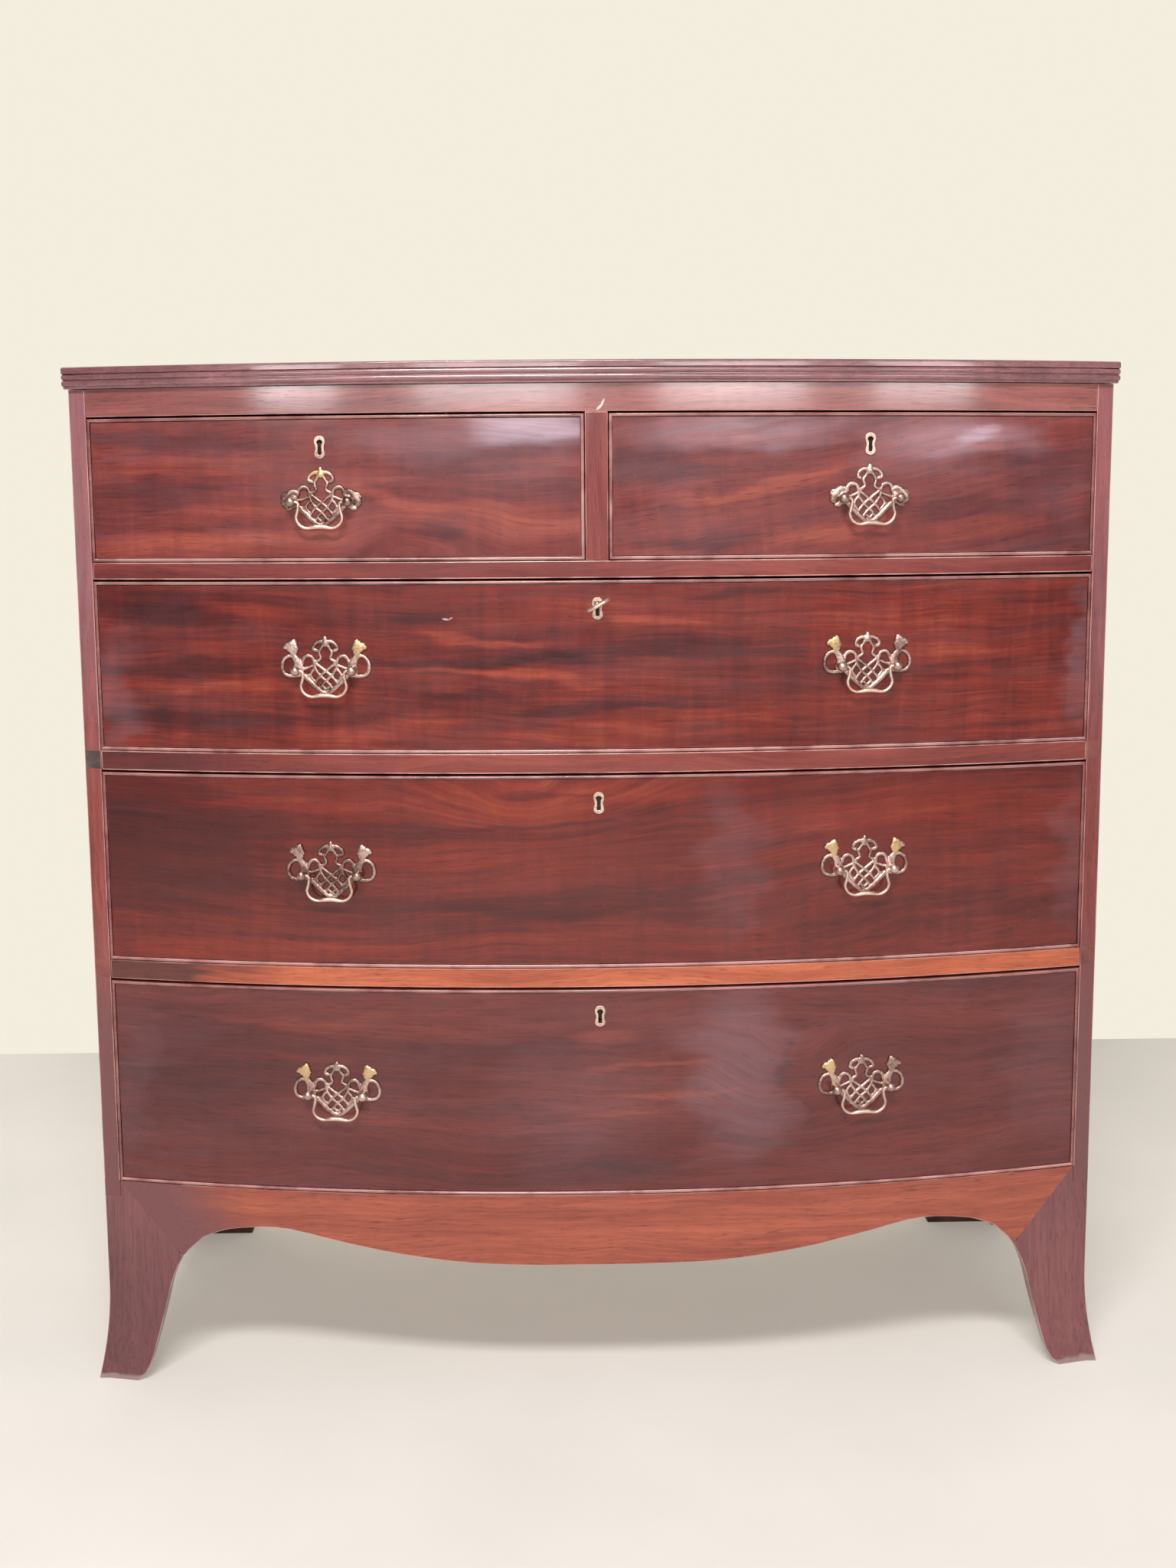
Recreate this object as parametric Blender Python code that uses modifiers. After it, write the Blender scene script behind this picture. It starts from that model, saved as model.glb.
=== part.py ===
"""Bow-front chest of drawers, on splayed bracket feet.

Two short drawers stand over three long ones, with cockbeaded fronts and pierced brass pulls.
Metres, +Z up. The floor is z = 0, the front faces -Y, and the origin is the middle of the floor space.
"""
import math

import bmesh
import bpy
import numpy as np
from mathutils import Matrix, Vector

MM = 0.001

# Joints and clearances
JOINT = 0.0003           # gap between pieces that touch
CUT = 0.010              # how far a cutter runs past the piece it cuts

# Case
CASE_W = 1.030           # across the two sides
CASE_D = 0.405           # front corner to back
BOW = 0.0673             # how far the middle of the front stands forward of its corners
BOW_STEPS = 16           # flats along the bow
LEAST_FLAT = 0.001       # shortest flat at the end of a bowed piece
SIDE_T = 0.017
BACK_T = 0.010
TOP_T = 0.021
TOP_OVER = 0.005         # overhang of the top at the front and the sides
REED_DEPTH = 0.0011      # grooves that run round the edge of the top
REED_HALF = 0.0009
REED_LEVELS = (0.0075, 0.0130)   # grooves, measured down from the upper face
TOP_ARRIS = 0.0015
FRIEZE_H = 0.027
ROW_TOP_H = 0.141        # openings, from the short drawers down
ROW_UPPER_H = 0.170
ROW_MIDDLE_H = 0.195
ROW_LOWER_H = 0.215
RAIL_UPPER_T = 0.017
RAIL_MIDDLE_T = 0.020
RAIL_LOWER_T = 0.020
RAIL_BACK = 0.045        # back edge of the rails, behind the front corners
DUSTBOARD_T = 0.010
DIVIDER_W = 0.022
BASE_T = 0.018           # bottom board
APRON_T = 0.020

# Feet and aprons
LEG_H = 0.196            # floor to the underside of the case
FOOT_T = 0.024
FLARE = 0.012            # outward kick of a foot at the floor
FLARE_H = 0.100
FOOT_W = 0.105           # bracket, where it meets the apron
APRON_END_H = 0.037      # depth of the aprons where they meet the feet
FOOT_EDGE = ((0.000, 0.030), (0.075, 0.041), (0.214, 0.049), (0.472, 0.0605),
             (0.692, 0.070), (0.868, 0.084), (1.000, FOOT_W))          # share of the way up, width
REAR_BRACKET_TOE = 0.088
REAR_TOE_MIN = 0.034     # least length of a rear foot along the side
APRON_EDGE = ((0.000, 0.057), (0.290, 0.0555), (0.490, 0.047), (0.660, 0.034),
              (0.800, 0.023), (0.930, 0.027), (1.000, APRON_END_H))    # share of the half length, depth
SIDE_APRON_EDGE = ((0.000, 0.046), (0.450, 0.038), (0.760, 0.025), (0.920, 0.028),
                   (1.000, APRON_END_H))
FOOT_RINGS = 13          # sections up a foot's shaped edge
FOOT_FACE_STEPS = 4      # flats across the front of a foot
APRON_STEPS = 24         # flats along the shaped edge of the front apron
SIDE_APRON_STEPS = 16

# Drawers
FRONT_T = 0.022
BEAD_W = 0.003
BEAD_PROUD = 0.002
SIDE_GAP = 0.001
TOP_GAP = 0.002
FRONT_LIFT = 0.0008      # gap under a drawer front
BOX_SIDE_T = 0.010
BOX_BACK_T = 0.009
BOX_DROP = 0.006         # how far the box stays under the top edge of its front
BACK_SPACE = 0.012       # behind a closed drawer
BOTTOM_T = 0.006
BOTTOM_UP = 0.009        # underside of the bottom board over the lower edge of the box
GROOVE = 0.005
KEYHOLE_DROP = 0.025     # keyhole under the top of a long drawer's opening
KEYHOLE_DROP_SHORT = 0.0275
KEYHOLE_R = 0.0032

# Brass pulls, drawn in the plate's own plane: X across, Y up, origin midway between the posts
PULL_X = 0.265           # centre of each pull, from the middle of the chest
PULL_DROP = 0.003        # pull under the middle of a long drawer's opening
PULL_UNDER_KEY = 0.056   # pull of a short drawer, under its keyhole
PLATE_T = 0.0016
POST_X = 0.028
PLATE_POST = 28.0        # where the posts stand in the outlines below, in mm
POST_HEAD_R = 0.005
POST_STEM_R = 0.003
POST_SIDES = 8
BAIL_OUT = 0.0105        # bail's plane, in front of the wood
BAIL_R = 0.0015
BAIL_SWELL = 1.45        # thickening in the middle of the grip
BAIL_CLEAR = 0.0025      # from a post's head to the middle of the bail's leg
BAIL_DROP = 0.025
BAIL_RISE = 0.0012       # lift in the middle of the grip
BAIL_CORNER = 0.008
BAIL_GRIP = 0.4          # half length of the grip, as a share of the bail's half width
BAIL_CORNER_STEPS = 4
SOCKET_PLAY = 0.0005
PIVOT_IN = 0.002         # how far a pivot goes into its post

CROWN = ((0.0, 32.0), (3.2, 29.8), (4.6, 26.0), (9.2, 25.2), (13.8, 22.4), (12.2, 20.0),
         (8.0, 20.6), (6.6, 15.5), (9.6, 10.6), (13.5, 13.2), (18.4, 15.6))
SCROLL = ((22.8, 14.6), (24.8, 18.2), (24.8, 23.0), (26.8, 28.2), (30.4, 29.8), (34.2, 26.4),
          (41.2, 24.6), (38.6, 20.6), (35.2, 17.0), (39.6, 13.4), (43.6, 6.5), (43.0, -1.5),
          (38.2, -7.0), (32.0, -9.4), (27.0, -8.6))
WING = ((24.8, 13.6), (31.0, 7.4), (37.4, 2.0), (35.4, -2.2), (31.6, -5.6), (27.0, -7.4))
LATTICE_FOOT = ((23.0, -4.4), (18.4, -3.4), (17.0, -8.6), (12.2, -13.4), (7.0, -17.2),
                (3.6, -21.0), (0.0, -22.6))
SIDE_HOLES = (
    ((17.2, 11.4), (20.6, 9.0), (20.8, 4.4), (17.8, 1.2), (14.4, 4.0), (13.4, 8.4)),
    ((11.4, 2.6), (14.4, -1.6), (13.2, -7.6), (9.6, -11.2), (6.8, -8.0), (6.2, -3.6)),
)
SCROLL_HOLE = ((31.5, 12.4), (36.4, 10.6), (40.2, 5.6), (39.6, -0.6), (36.2, -3.4), (36.4, 3.0))
MIDDLE_HOLES = (
    ((0.0, 22.3), (3.2, 17.5), (3.5, 12.0), (8.0, 6.6), (5.0, 0.8), (0.0, 5.6)),
    ((0.0, 2.0), (2.9, -2.8), (0.0, -7.4)),
    ((0.0, -11.8), (4.6, -6.8), (6.8, -12.6), (3.6, -16.4), (0.0, -18.8)),
)

# Keyhole plates, in their own plane, in mm, origin at the keyhole's round part
ESCUTCHEON_T = 0.0012
ESCUTCHEON_EDGE = ((0.0, 6.6), (3.6, 6.0), (6.0, 3.2), (6.2, -0.4), (4.4, -3.6), (4.6, -6.2),
                   (6.2, -8.4), (5.2, -12.2), (2.4, -15.0), (0.0, -16.4))
KEYHOLE_EDGE = ((0.0, 2.9), (2.1, 2.1), (2.9, 0.0), (1.5, -2.4), (1.6, -8.2), (0.0, -8.6))

# Lock and key of the upper long drawer
LOCK_W = 0.060
LOCK_T = 0.011
LOCK_FLOOR = 0.006
LOCK_BACK_T = 0.0015
BOLT_W = 0.019
BOLT_T = 0.004
BOLT_PLAY = 0.0005
BOLT_LIFT = 0.008
KEY_STEM_R = 0.0024
KEY_BIT = 0.008          # reach of the bit from the key's axis
KEY_BIT_T = 0.0022
KEY_REACH = 0.033        # how far the key stands out of the drawer
KEY_BOW_HALF_W = 0.0130
KEY_BOW_HALF_H = 0.0090
KEY_BOW_R = 0.0017
KEY_BOW_STEPS = 20
KEY_COLLAR_R = 0.0036
KEY_COLLAR_L = 0.0022
KEY_TILT = math.radians(29.0)     # angle at which the key was left in its lock

# Levels, from the floor up
ARCH_END_Z = LEG_H - APRON_END_H
LOWER_Z = LEG_H + BASE_T
RAIL_LOWER_Z = LOWER_Z + ROW_LOWER_H
MIDDLE_Z = RAIL_LOWER_Z + RAIL_LOWER_T
RAIL_MIDDLE_Z = MIDDLE_Z + ROW_MIDDLE_H
UPPER_Z = RAIL_MIDDLE_Z + RAIL_MIDDLE_T
RAIL_UPPER_Z = UPPER_Z + ROW_UPPER_H
TOP_ROW_Z = RAIL_UPPER_Z + RAIL_UPPER_T
FRIEZE_Z = TOP_ROW_Z + ROW_TOP_H
TOP_Z = FRIEZE_Z + FRIEZE_H

# Depths, along Y
CORNER_Y = -(CASE_D - BOW - KEY_REACH) / 2
BACK_Y = CORNER_Y + CASE_D
BACK_FACE_Y = BACK_Y - BACK_T
RAIL_BACK_Y = CORNER_Y + RAIL_BACK
HALF_W = CASE_W / 2
INNER_X = HALF_W - SIDE_T
BOW_RADIUS = (HALF_W ** 2 + BOW ** 2) / (2 * BOW)


def arc_y(x, half=HALF_W, forward=0.0):
    """Y of the bowed front at x, on an arc through corners that stand forward of the case's."""
    rise = BOW_RADIUS - math.sqrt(BOW_RADIUS ** 2 - half ** 2)
    return CORNER_Y - forward - rise + BOW_RADIUS - math.sqrt(max(BOW_RADIUS ** 2 - x ** 2, 0.0))


STATIONS = [HALF_W * (2 * i / BOW_STEPS - 1) for i in range(BOW_STEPS + 1)]
STATION_YS = [arc_y(x) for x in STATIONS]


def front_y(x):
    """Y of the case's front at x, on the flats that stand for the bow."""
    return float(np.interp(x, STATIONS, STATION_YS))


def stations(x0, x1):
    """The ends of a bowed piece and the stations between them."""
    between = [x for x in STATIONS if x0 + LEAST_FLAT < x < x1 - LEAST_FLAT]
    return [x0, *between, x1]


def smooth_at(points, where):
    """Second value of a smooth curve through points at a place along their first value."""
    firsts = [p[0] for p in points]
    i = min(max(int(np.searchsorted(firsts, where)) - 1, 0), len(points) - 2)
    (a, va), (b, vb) = points[i], points[i + 1]

    def slope(k):
        lo, hi = max(k - 1, 0), min(k + 1, len(points) - 1)
        return (points[hi][1] - points[lo][1]) / (points[hi][0] - points[lo][0])

    span, t = b - a, min(max((where - a) / (b - a), 0.0), 1.0)
    start, end = slope(i) * span, slope(i + 1) * span
    return ((2 * t ** 3 - 3 * t ** 2 + 1) * va + (t ** 3 - 2 * t ** 2 + t) * start
            + (3 * t ** 2 - 2 * t ** 3) * vb + (t ** 3 - t ** 2) * end)


def mirrored(half, across=MM):
    """A closed outline from its right half in mm, which runs from the top down."""
    left = [(-x, y) for x, y in reversed(half) if x > 0]
    return [(x * across, y * MM) for x, y in [*half, *left]]


def material(name, colour, roughness, metallic=0.0):
    """A Principled BSDF in one colour."""
    mat = bpy.data.materials.new(name)
    mat.use_nodes = True
    shader = mat.node_tree.nodes["Principled BSDF"]
    shader.inputs["Base Color"].default_value = (*colour, 1.0)
    shader.inputs["Roughness"].default_value = roughness
    shader.inputs["Metallic"].default_value = metallic
    mat.diffuse_color = (*colour, 1.0)
    return mat


def add(name, mesh, mat, collection, smooth=False):
    """A new object for a mesh."""
    if smooth:
        mesh.shade_smooth()
        mesh.set_sharp_from_angle(angle=math.radians(40))
    mesh.materials.clear()
    if mat:
        mesh.materials.append(mat)
    obj = bpy.data.objects.new(name, mesh)
    collection.objects.link(obj)
    return obj


def hide_cutter(obj):
    """Marks a cutter, which isn't part of the chest."""
    obj.hide_render = True
    obj.display_type = "WIRE"
    return obj


def evaluated_mesh(obj):
    """A mesh copy of an object with its modifiers or its curve worked out, in its own axes."""
    bpy.context.view_layer.update()
    graph = bpy.context.evaluated_depsgraph_get()
    mesh = bpy.data.meshes.new_from_object(obj.evaluated_get(graph))
    bm = bmesh.new()
    bm.from_mesh(mesh)
    bmesh.ops.remove_doubles(bm, verts=bm.verts, dist=0.00001)
    bm.to_mesh(mesh)
    bm.free()
    return mesh


def box_mesh(name, low, high):
    """A box between two corners."""
    size = [b - a for a, b in zip(low, high)]
    middle = [(a + b) / 2 for a, b in zip(low, high)]
    bm = bmesh.new()
    bmesh.ops.create_cube(bm, size=1.0, matrix=Matrix.Translation(middle) @ Matrix.Diagonal((*size, 1.0)))
    mesh = bpy.data.meshes.new(name)
    bm.to_mesh(mesh)
    bm.free()
    return mesh


def outline_mesh(name, outlines, low, high):
    """A flat outline in X and Y, less any holes in it, as a solid between two heights."""
    curve = bpy.data.curves.new(name, "CURVE")
    curve.dimensions = "2D"
    curve.fill_mode = "BOTH"
    curve.extrude = (high - low) / 2
    for points in outlines:
        spline = curve.splines.new("POLY")
        spline.points.add(len(points) - 1)
        for point, (x, y) in zip(spline.points, points):
            point.co = (x, y, 0.0, 1.0)
        spline.use_cyclic_u = True
    obj = bpy.data.objects.new(name, curve)
    CUTTERS.objects.link(obj)
    mesh = evaluated_mesh(obj)
    bpy.data.objects.remove(obj, do_unlink=True)
    mesh.transform(Matrix.Translation((0.0, 0.0, (low + high) / 2)))
    return mesh


def loft_mesh(name, rings):
    """A solid skinned over closed rings of equal count, with both ends filled."""
    bm = bmesh.new()
    loops = [[bm.verts.new(p) for p in ring] for ring in rings]
    for lower, upper in zip(loops, loops[1:]):
        for i in range(len(lower)):
            j = (i + 1) % len(lower)
            bm.faces.new((lower[i], lower[j], upper[j], upper[i]))
    bm.faces.new(list(reversed(loops[0])))
    bm.faces.new(loops[-1])
    bmesh.ops.recalc_face_normals(bm, faces=bm.faces)
    mesh = bpy.data.meshes.new(name)
    bm.to_mesh(mesh)
    bm.free()
    return mesh


def band(x0, x1, ahead, behind):
    """Outline of a bowed band: its front lies ahead of the bow and its back behind it."""
    xs = stations(x0, x1)
    front = [(x, front_y(x) - ahead) for x in xs]
    back = [(x, front_y(x) + behind) for x in reversed(xs)]
    return front + back


def bowed_board(x0, x1, back_y):
    """Outline of a board with a bowed front edge and a straight back edge."""
    front = [(x, front_y(x)) for x in stations(x0, x1)]
    return [*front, (x1, back_y), (x0, back_y)]


def boolean(obj, cutter, operation="DIFFERENCE"):
    """A Boolean modifier on obj."""
    mod = obj.modifiers.new(operation.lower(), "BOOLEAN")
    mod.operation = operation
    mod.object = cutter
    return obj


def box_cutter(name, low, high):
    """A box-shaped cutter."""
    return hide_cutter(add(name, box_mesh(name, low, high), None, CUTTERS))


def round_cutter(name, radius, start, end, sides=10):
    """A round cutter between two points."""
    start, end = Vector(start), Vector(end)
    turn = (end - start).to_track_quat("Z", "Y").to_matrix().to_4x4()
    bm = bmesh.new()
    bmesh.ops.create_cone(bm, cap_ends=True, segments=sides, radius1=radius, radius2=radius,
                          depth=(end - start).length,
                          matrix=Matrix.Translation((start + end) / 2) @ turn)
    mesh = bpy.data.meshes.new(name)
    bm.to_mesh(mesh)
    bm.free()
    return hide_cutter(add(name, mesh, None, CUTTERS))


def set_origin(obj, point):
    """Moves an object's origin to a point, and leaves its mesh in place."""
    obj.data.transform(Matrix.Translation(-Vector(point)))
    obj.location = point


def attach(obj, parent):
    """Parents an object, and leaves it in place."""
    obj.parent = parent
    obj.matrix_parent_inverse = Matrix.Translation(parent.location).inverted()


def pivot_frame(x, z, out=0.0):
    """Place and turn of a fitting on the bowed front: its X along the wood and its Z up."""
    lean = math.asin(x / BOW_RADIUS)
    normal = Vector((math.sin(lean), -math.cos(lean), 0.0))
    point = Vector((x, arc_y(x), z)) + normal * out
    return point, lean


def make_case():
    """Sides, back, top, rails, dustboards and the upright between the short drawers."""
    for name, sign in (("side_left", -1), ("side_right", 1)):
        xs = sorted((sign * HALF_W, sign * INNER_X))
        outline = [(x, front_y(x)) for x in xs] + [(xs[1], BACK_Y), (xs[0], BACK_Y)]
        add(name, outline_mesh(name, [outline], LEG_H + JOINT, TOP_Z - JOINT), CASE_WOOD, PARTS)
    add("back_panel", box_mesh("back_panel", (-INNER_X + JOINT, BACK_FACE_Y, LEG_H + JOINT),
                               (INNER_X - JOINT, BACK_Y, TOP_Z - JOINT)), PINE, PARTS)
    add("top_board", top_mesh(), TOP_WOOD, PARTS)

    inner = INNER_X - JOINT
    rails = (("frieze_rail", FRIEZE_Z, TOP_Z - JOINT),
             ("rail_upper", RAIL_UPPER_Z, TOP_ROW_Z),
             ("rail_middle", RAIL_MIDDLE_Z, UPPER_Z),
             ("rail_lower", RAIL_LOWER_Z, MIDDLE_Z))
    for name, low, high in rails:
        mesh = outline_mesh(name, [bowed_board(-inner, inner, RAIL_BACK_Y)], low, high)
        rail = add(name, mesh, CASE_WOOD, PARTS)
        if name == "rail_upper":
            boolean(rail, bolt_mortise())

    boards = (("dustboard_upper", TOP_ROW_Z), ("dustboard_middle", UPPER_Z), ("dustboard_lower", MIDDLE_Z))
    for name, high in boards:
        add(name, box_mesh(name, (-inner, RAIL_BACK_Y + JOINT, high - DUSTBOARD_T),
                           (inner, BACK_FACE_Y - JOINT, high)), PINE, PARTS)
    bottom = [(x, front_y(x) + APRON_T + JOINT) for x in stations(-inner, inner)]
    bottom += [(inner, BACK_FACE_Y - JOINT), (-inner, BACK_FACE_Y - JOINT)]
    add("bottom_board", outline_mesh("bottom_board", [bottom], LEG_H + JOINT, LOWER_Z), PINE, PARTS)

    low, high = TOP_ROW_Z + JOINT, FRIEZE_Z - JOINT
    divider = bowed_board(-DIVIDER_W / 2, DIVIDER_W / 2, RAIL_BACK_Y)
    add("short_drawer_divider", outline_mesh("short_drawer_divider", [divider], low, high), CASE_WOOD, PARTS)
    add("short_drawer_partition",
        box_mesh("short_drawer_partition", (-DIVIDER_W / 2, RAIL_BACK_Y + JOINT, low),
                 (DIVIDER_W / 2, BACK_FACE_Y - JOINT, TOP_Z - JOINT)), PINE, PARTS)


def bolt_mortise():
    """The slot over the lock, which takes the thrown bolt."""
    way = BOLT_W / 2 + BOLT_PLAY
    y0, y1 = bolt_depths()
    lift = BOLT_LIFT - TOP_GAP + 2 * BOLT_PLAY
    return box_cutter("bolt_mortise", (-way, y0 - BOLT_PLAY, RAIL_UPPER_Z - CUT),
                      (way, y1 + BOLT_PLAY, RAIL_UPPER_Z + lift))


def top_mesh():
    """The top, with an arris and two grooves round its edge and a plain back."""
    levels = [(0.0, 0.0)]
    for down in sorted(REED_LEVELS, reverse=True):
        up = TOP_T - down
        levels += [(up - REED_HALF, 0.0), (up, REED_DEPTH), (up + REED_HALF, 0.0)]
    levels += [(TOP_T - TOP_ARRIS, 0.0), (TOP_T, TOP_ARRIS)]
    rings = []
    for up, inset in levels:
        over = TOP_OVER - inset
        half = HALF_W + over
        xs = [half * (2 * i / BOW_STEPS - 1) for i in range(BOW_STEPS + 1)]
        ring = [(x, arc_y(x, half, over), TOP_Z + up) for x in xs]
        rings.append([*ring, (half, BACK_Y, TOP_Z + up), (-half, BACK_Y, TOP_Z + up)])
    return loft_mesh("top_board", rings)


def flare_at(z):
    """How far a foot stands out of the case's face at a height."""
    return FLARE * max(1.0 - z / FLARE_H, 0.0) ** 2


def foot_width(z):
    """Width of a shaped bracket at a height."""
    return smooth_at(FOOT_EDGE, min(z / ARCH_END_Z, 1.0))


def foot_levels():
    """Heights at which a foot's section is drawn."""
    curved = np.linspace(0.0, ARCH_END_Z, FOOT_RINGS)
    return [*(float(z) for z in curved), LEG_H - JOINT]


def front_foot_mesh(name, side):
    """A front foot: a bowed bracket and a side bracket round one corner, both kicking out."""
    rings = []
    for z in foot_levels():
        out, width = flare_at(z), foot_width(z)
        corner, inner = HALF_W + out, HALF_W - width
        turn, reach = corner - FOOT_T, CORNER_Y + width
        face = [(x, arc_y(min(x, HALF_W)) - out) for x in np.linspace(corner, inner, FOOT_FACE_STEPS + 1)]
        within = [(x, arc_y(x) - out + FOOT_T) for x in (inner, (inner + turn) / 2, turn)]
        ring = [*face, *within, (turn, reach), (corner, reach)]
        rings.append([(side * x, y, z) for x, y in ring])
    return loft_mesh(name, rings)


def rear_foot_mesh(name, side):
    """A rear foot: a side bracket that kicks out, and a plain bracket across the back."""
    rings = []
    for z in foot_levels():
        out, width = flare_at(z), foot_width(z)
        corner = HALF_W + out
        slope = (FOOT_W - REAR_BRACKET_TOE) * z / LEG_H
        inner, turn = HALF_W - REAR_BRACKET_TOE - slope, corner - FOOT_T
        reach = BACK_Y - max(width, REAR_TOE_MIN)
        ring = [(corner, BACK_Y), (inner, BACK_Y), (inner, BACK_Y - FOOT_T), (turn, BACK_Y - FOOT_T),
                (turn, reach), (corner, reach)]
        rings.append([(side * x, y, z) for x, y in ring])
    return loft_mesh(name, rings)


def make_base():
    """Four bracket feet and the shaped aprons between them."""
    for side, word in ((-1, "left"), (1, "right")):
        add("foot_front_" + word, front_foot_mesh("foot_front_" + word, side), BASE_WOOD, PARTS)
        add("foot_rear_" + word, rear_foot_mesh("foot_rear_" + word, side), BASE_WOOD, PARTS)

    split, inner = HALF_W - FOOT_W - JOINT, INNER_X - JOINT
    mesh = apron_mesh("apron_front", split)
    apron = add("apron_front", mesh, APRON_WOOD, PARTS)
    ears = outline_mesh("apron_ears", [band(-inner, inner, 0.0, APRON_T)],
                        LEG_H + JOINT, LOWER_Z - JOINT)
    boolean(apron, hide_cutter(add("apron_ears", ears, None, CUTTERS)), "UNION")

    start, end = CORNER_Y + FOOT_W + JOINT, BACK_Y - FOOT_W - JOINT
    middle, half = (start + end) / 2, (end - start) / 2
    for side, word in ((-1, "left"), (1, "right")):
        rings = []
        for share in np.linspace(-1.0, 1.0, SIDE_APRON_STEPS + 1):
            y, z = middle + half * share, LEG_H - smooth_at(SIDE_APRON_EDGE, abs(share))
            xs = (side * HALF_W, side * (HALF_W - APRON_T))
            rings.append([(xs[0], y, z), (xs[1], y, z), (xs[1], y, LEG_H), (xs[0], y, LEG_H)])
        add("apron_" + word, loft_mesh("apron_" + word, rings), APRON_WOOD, PARTS)


def apron_mesh(name, split):
    """The part of the front apron that hangs between the feet, with its serpentine lower edge."""
    inner = [x for x in STATIONS if abs(x) < split]
    xs = sorted({*inner, *(split * s for s in np.linspace(-1.0, 1.0, APRON_STEPS + 1))})
    top = LEG_H + BASE_T / 2
    rings = []
    for x in xs:
        z = LEG_H - smooth_at(APRON_EDGE, min(abs(x) / split, 1.0))
        y = front_y(x)
        rings.append([(x, y, z), (x, y + APRON_T, z), (x, y + APRON_T, top), (x, y, top)])
    return loft_mesh(name, rings)


def make_drawer(name, x0, x1, low, high, key_x, key_z, lock=False):
    """One drawer: front with its cockbead, box, bottom and keyhole plate. Returns its parent empty."""
    x0, x1 = x0 + SIDE_GAP, x1 - SIDE_GAP
    z0, z1 = low + FRONT_LIFT, high - TOP_GAP
    middle = (x0 + x1) / 2
    origin = Vector((middle, front_y(middle), (z0 + z1) / 2))
    drawer = bpy.data.objects.new(name, None)
    drawer.location = origin
    PARTS.objects.link(drawer)

    front = add(name + "_front", outline_mesh(name + "_front", [band(x0, x1, BEAD_PROUD, FRONT_T)], z0, z1),
                DRAWER_WOOD, PARTS)
    field = outline_mesh(name + "_field", [band(x0 + BEAD_W, x1 - BEAD_W, CUT, 0.0)],
                         z0 + BEAD_W, z1 - BEAD_W)
    boolean(front, hide_cutter(add(name + "_field", field, None, CUTTERS)))

    box_low = low + JOINT
    box_back = BACK_FACE_Y - BACK_SPACE
    inner0, inner1 = x0 + BOX_SIDE_T, x1 - BOX_SIDE_T

    def end_y(x):
        return front_y(x) + FRONT_T + JOINT

    sides = [(x0, end_y(x0)), (inner0, end_y(inner0)), (inner0, box_back - BOX_BACK_T),
             (inner1, box_back - BOX_BACK_T), (inner1, end_y(inner1)), (x1, end_y(x1)),
             (x1, box_back), (x0, box_back)]
    box = add(name + "_box", outline_mesh(name + "_box", [sides], box_low, z1 - BOX_DROP), OAK, PARTS)

    floor_z = box_low + BOTTOM_UP
    edge0, edge1 = inner0 - GROOVE, inner1 + GROOVE
    xs = stations(edge0, edge1)
    slot = [(x, front_y(x) + FRONT_T - GROOVE) for x in xs]
    slot += [(edge1, box_back + CUT), (edge0, box_back + CUT)]
    groove = outline_mesh(name + "_groove", [slot], floor_z - JOINT, floor_z + BOTTOM_T + JOINT)
    groove = hide_cutter(add(name + "_groove", groove, None, CUTTERS))
    boolean(front, groove)
    boolean(box, groove)
    under = box_cutter(name + "_under_back", (inner0, box_back - BOX_BACK_T - CUT, box_low - CUT),
                       (inner1, box_back + CUT, floor_z + BOTTOM_T / 2))
    boolean(box, under)

    xs = stations(edge0 + JOINT, edge1 - JOINT)
    panel = [(x, front_y(x) + FRONT_T - GROOVE + JOINT) for x in xs]
    panel += [(xs[-1], box_back), (xs[0], box_back)]
    panel = outline_mesh(name + "_bottom", [panel], floor_z, floor_z + BOTTOM_T)
    bottom = add(name + "_bottom", panel, PINE, PARTS)

    y = front_y(key_x)
    boolean(front, round_cutter(name + "_keyhole", KEYHOLE_R, (key_x, y - CUT, key_z),
                                (key_x, y + FRONT_T + CUT, key_z)))
    if lock:
        make_lock(front, drawer, z1, key_z)

    plate = add(name + "_escutcheon", ESCUTCHEON, BRASS, PARTS)
    place_fitting(plate, key_x, key_z, JOINT, drawer)
    for obj in (front, box, bottom):
        set_origin(obj, origin)
        attach(obj, drawer)
    return drawer


def place_fitting(obj, x, z, out, parent):
    """Sets a fitting drawn in X and Y on the bowed front, facing out."""
    point, lean = pivot_frame(x, z, out)
    obj.location = point
    obj.rotation_euler = (math.pi / 2, 0.0, lean)
    attach(obj, parent)


def bolt_depths():
    """Front and back faces of the lock's bolt."""
    face = front_y(0.0) + FRONT_T - LOCK_T
    return face + JOINT, face + JOINT + BOLT_T


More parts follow.
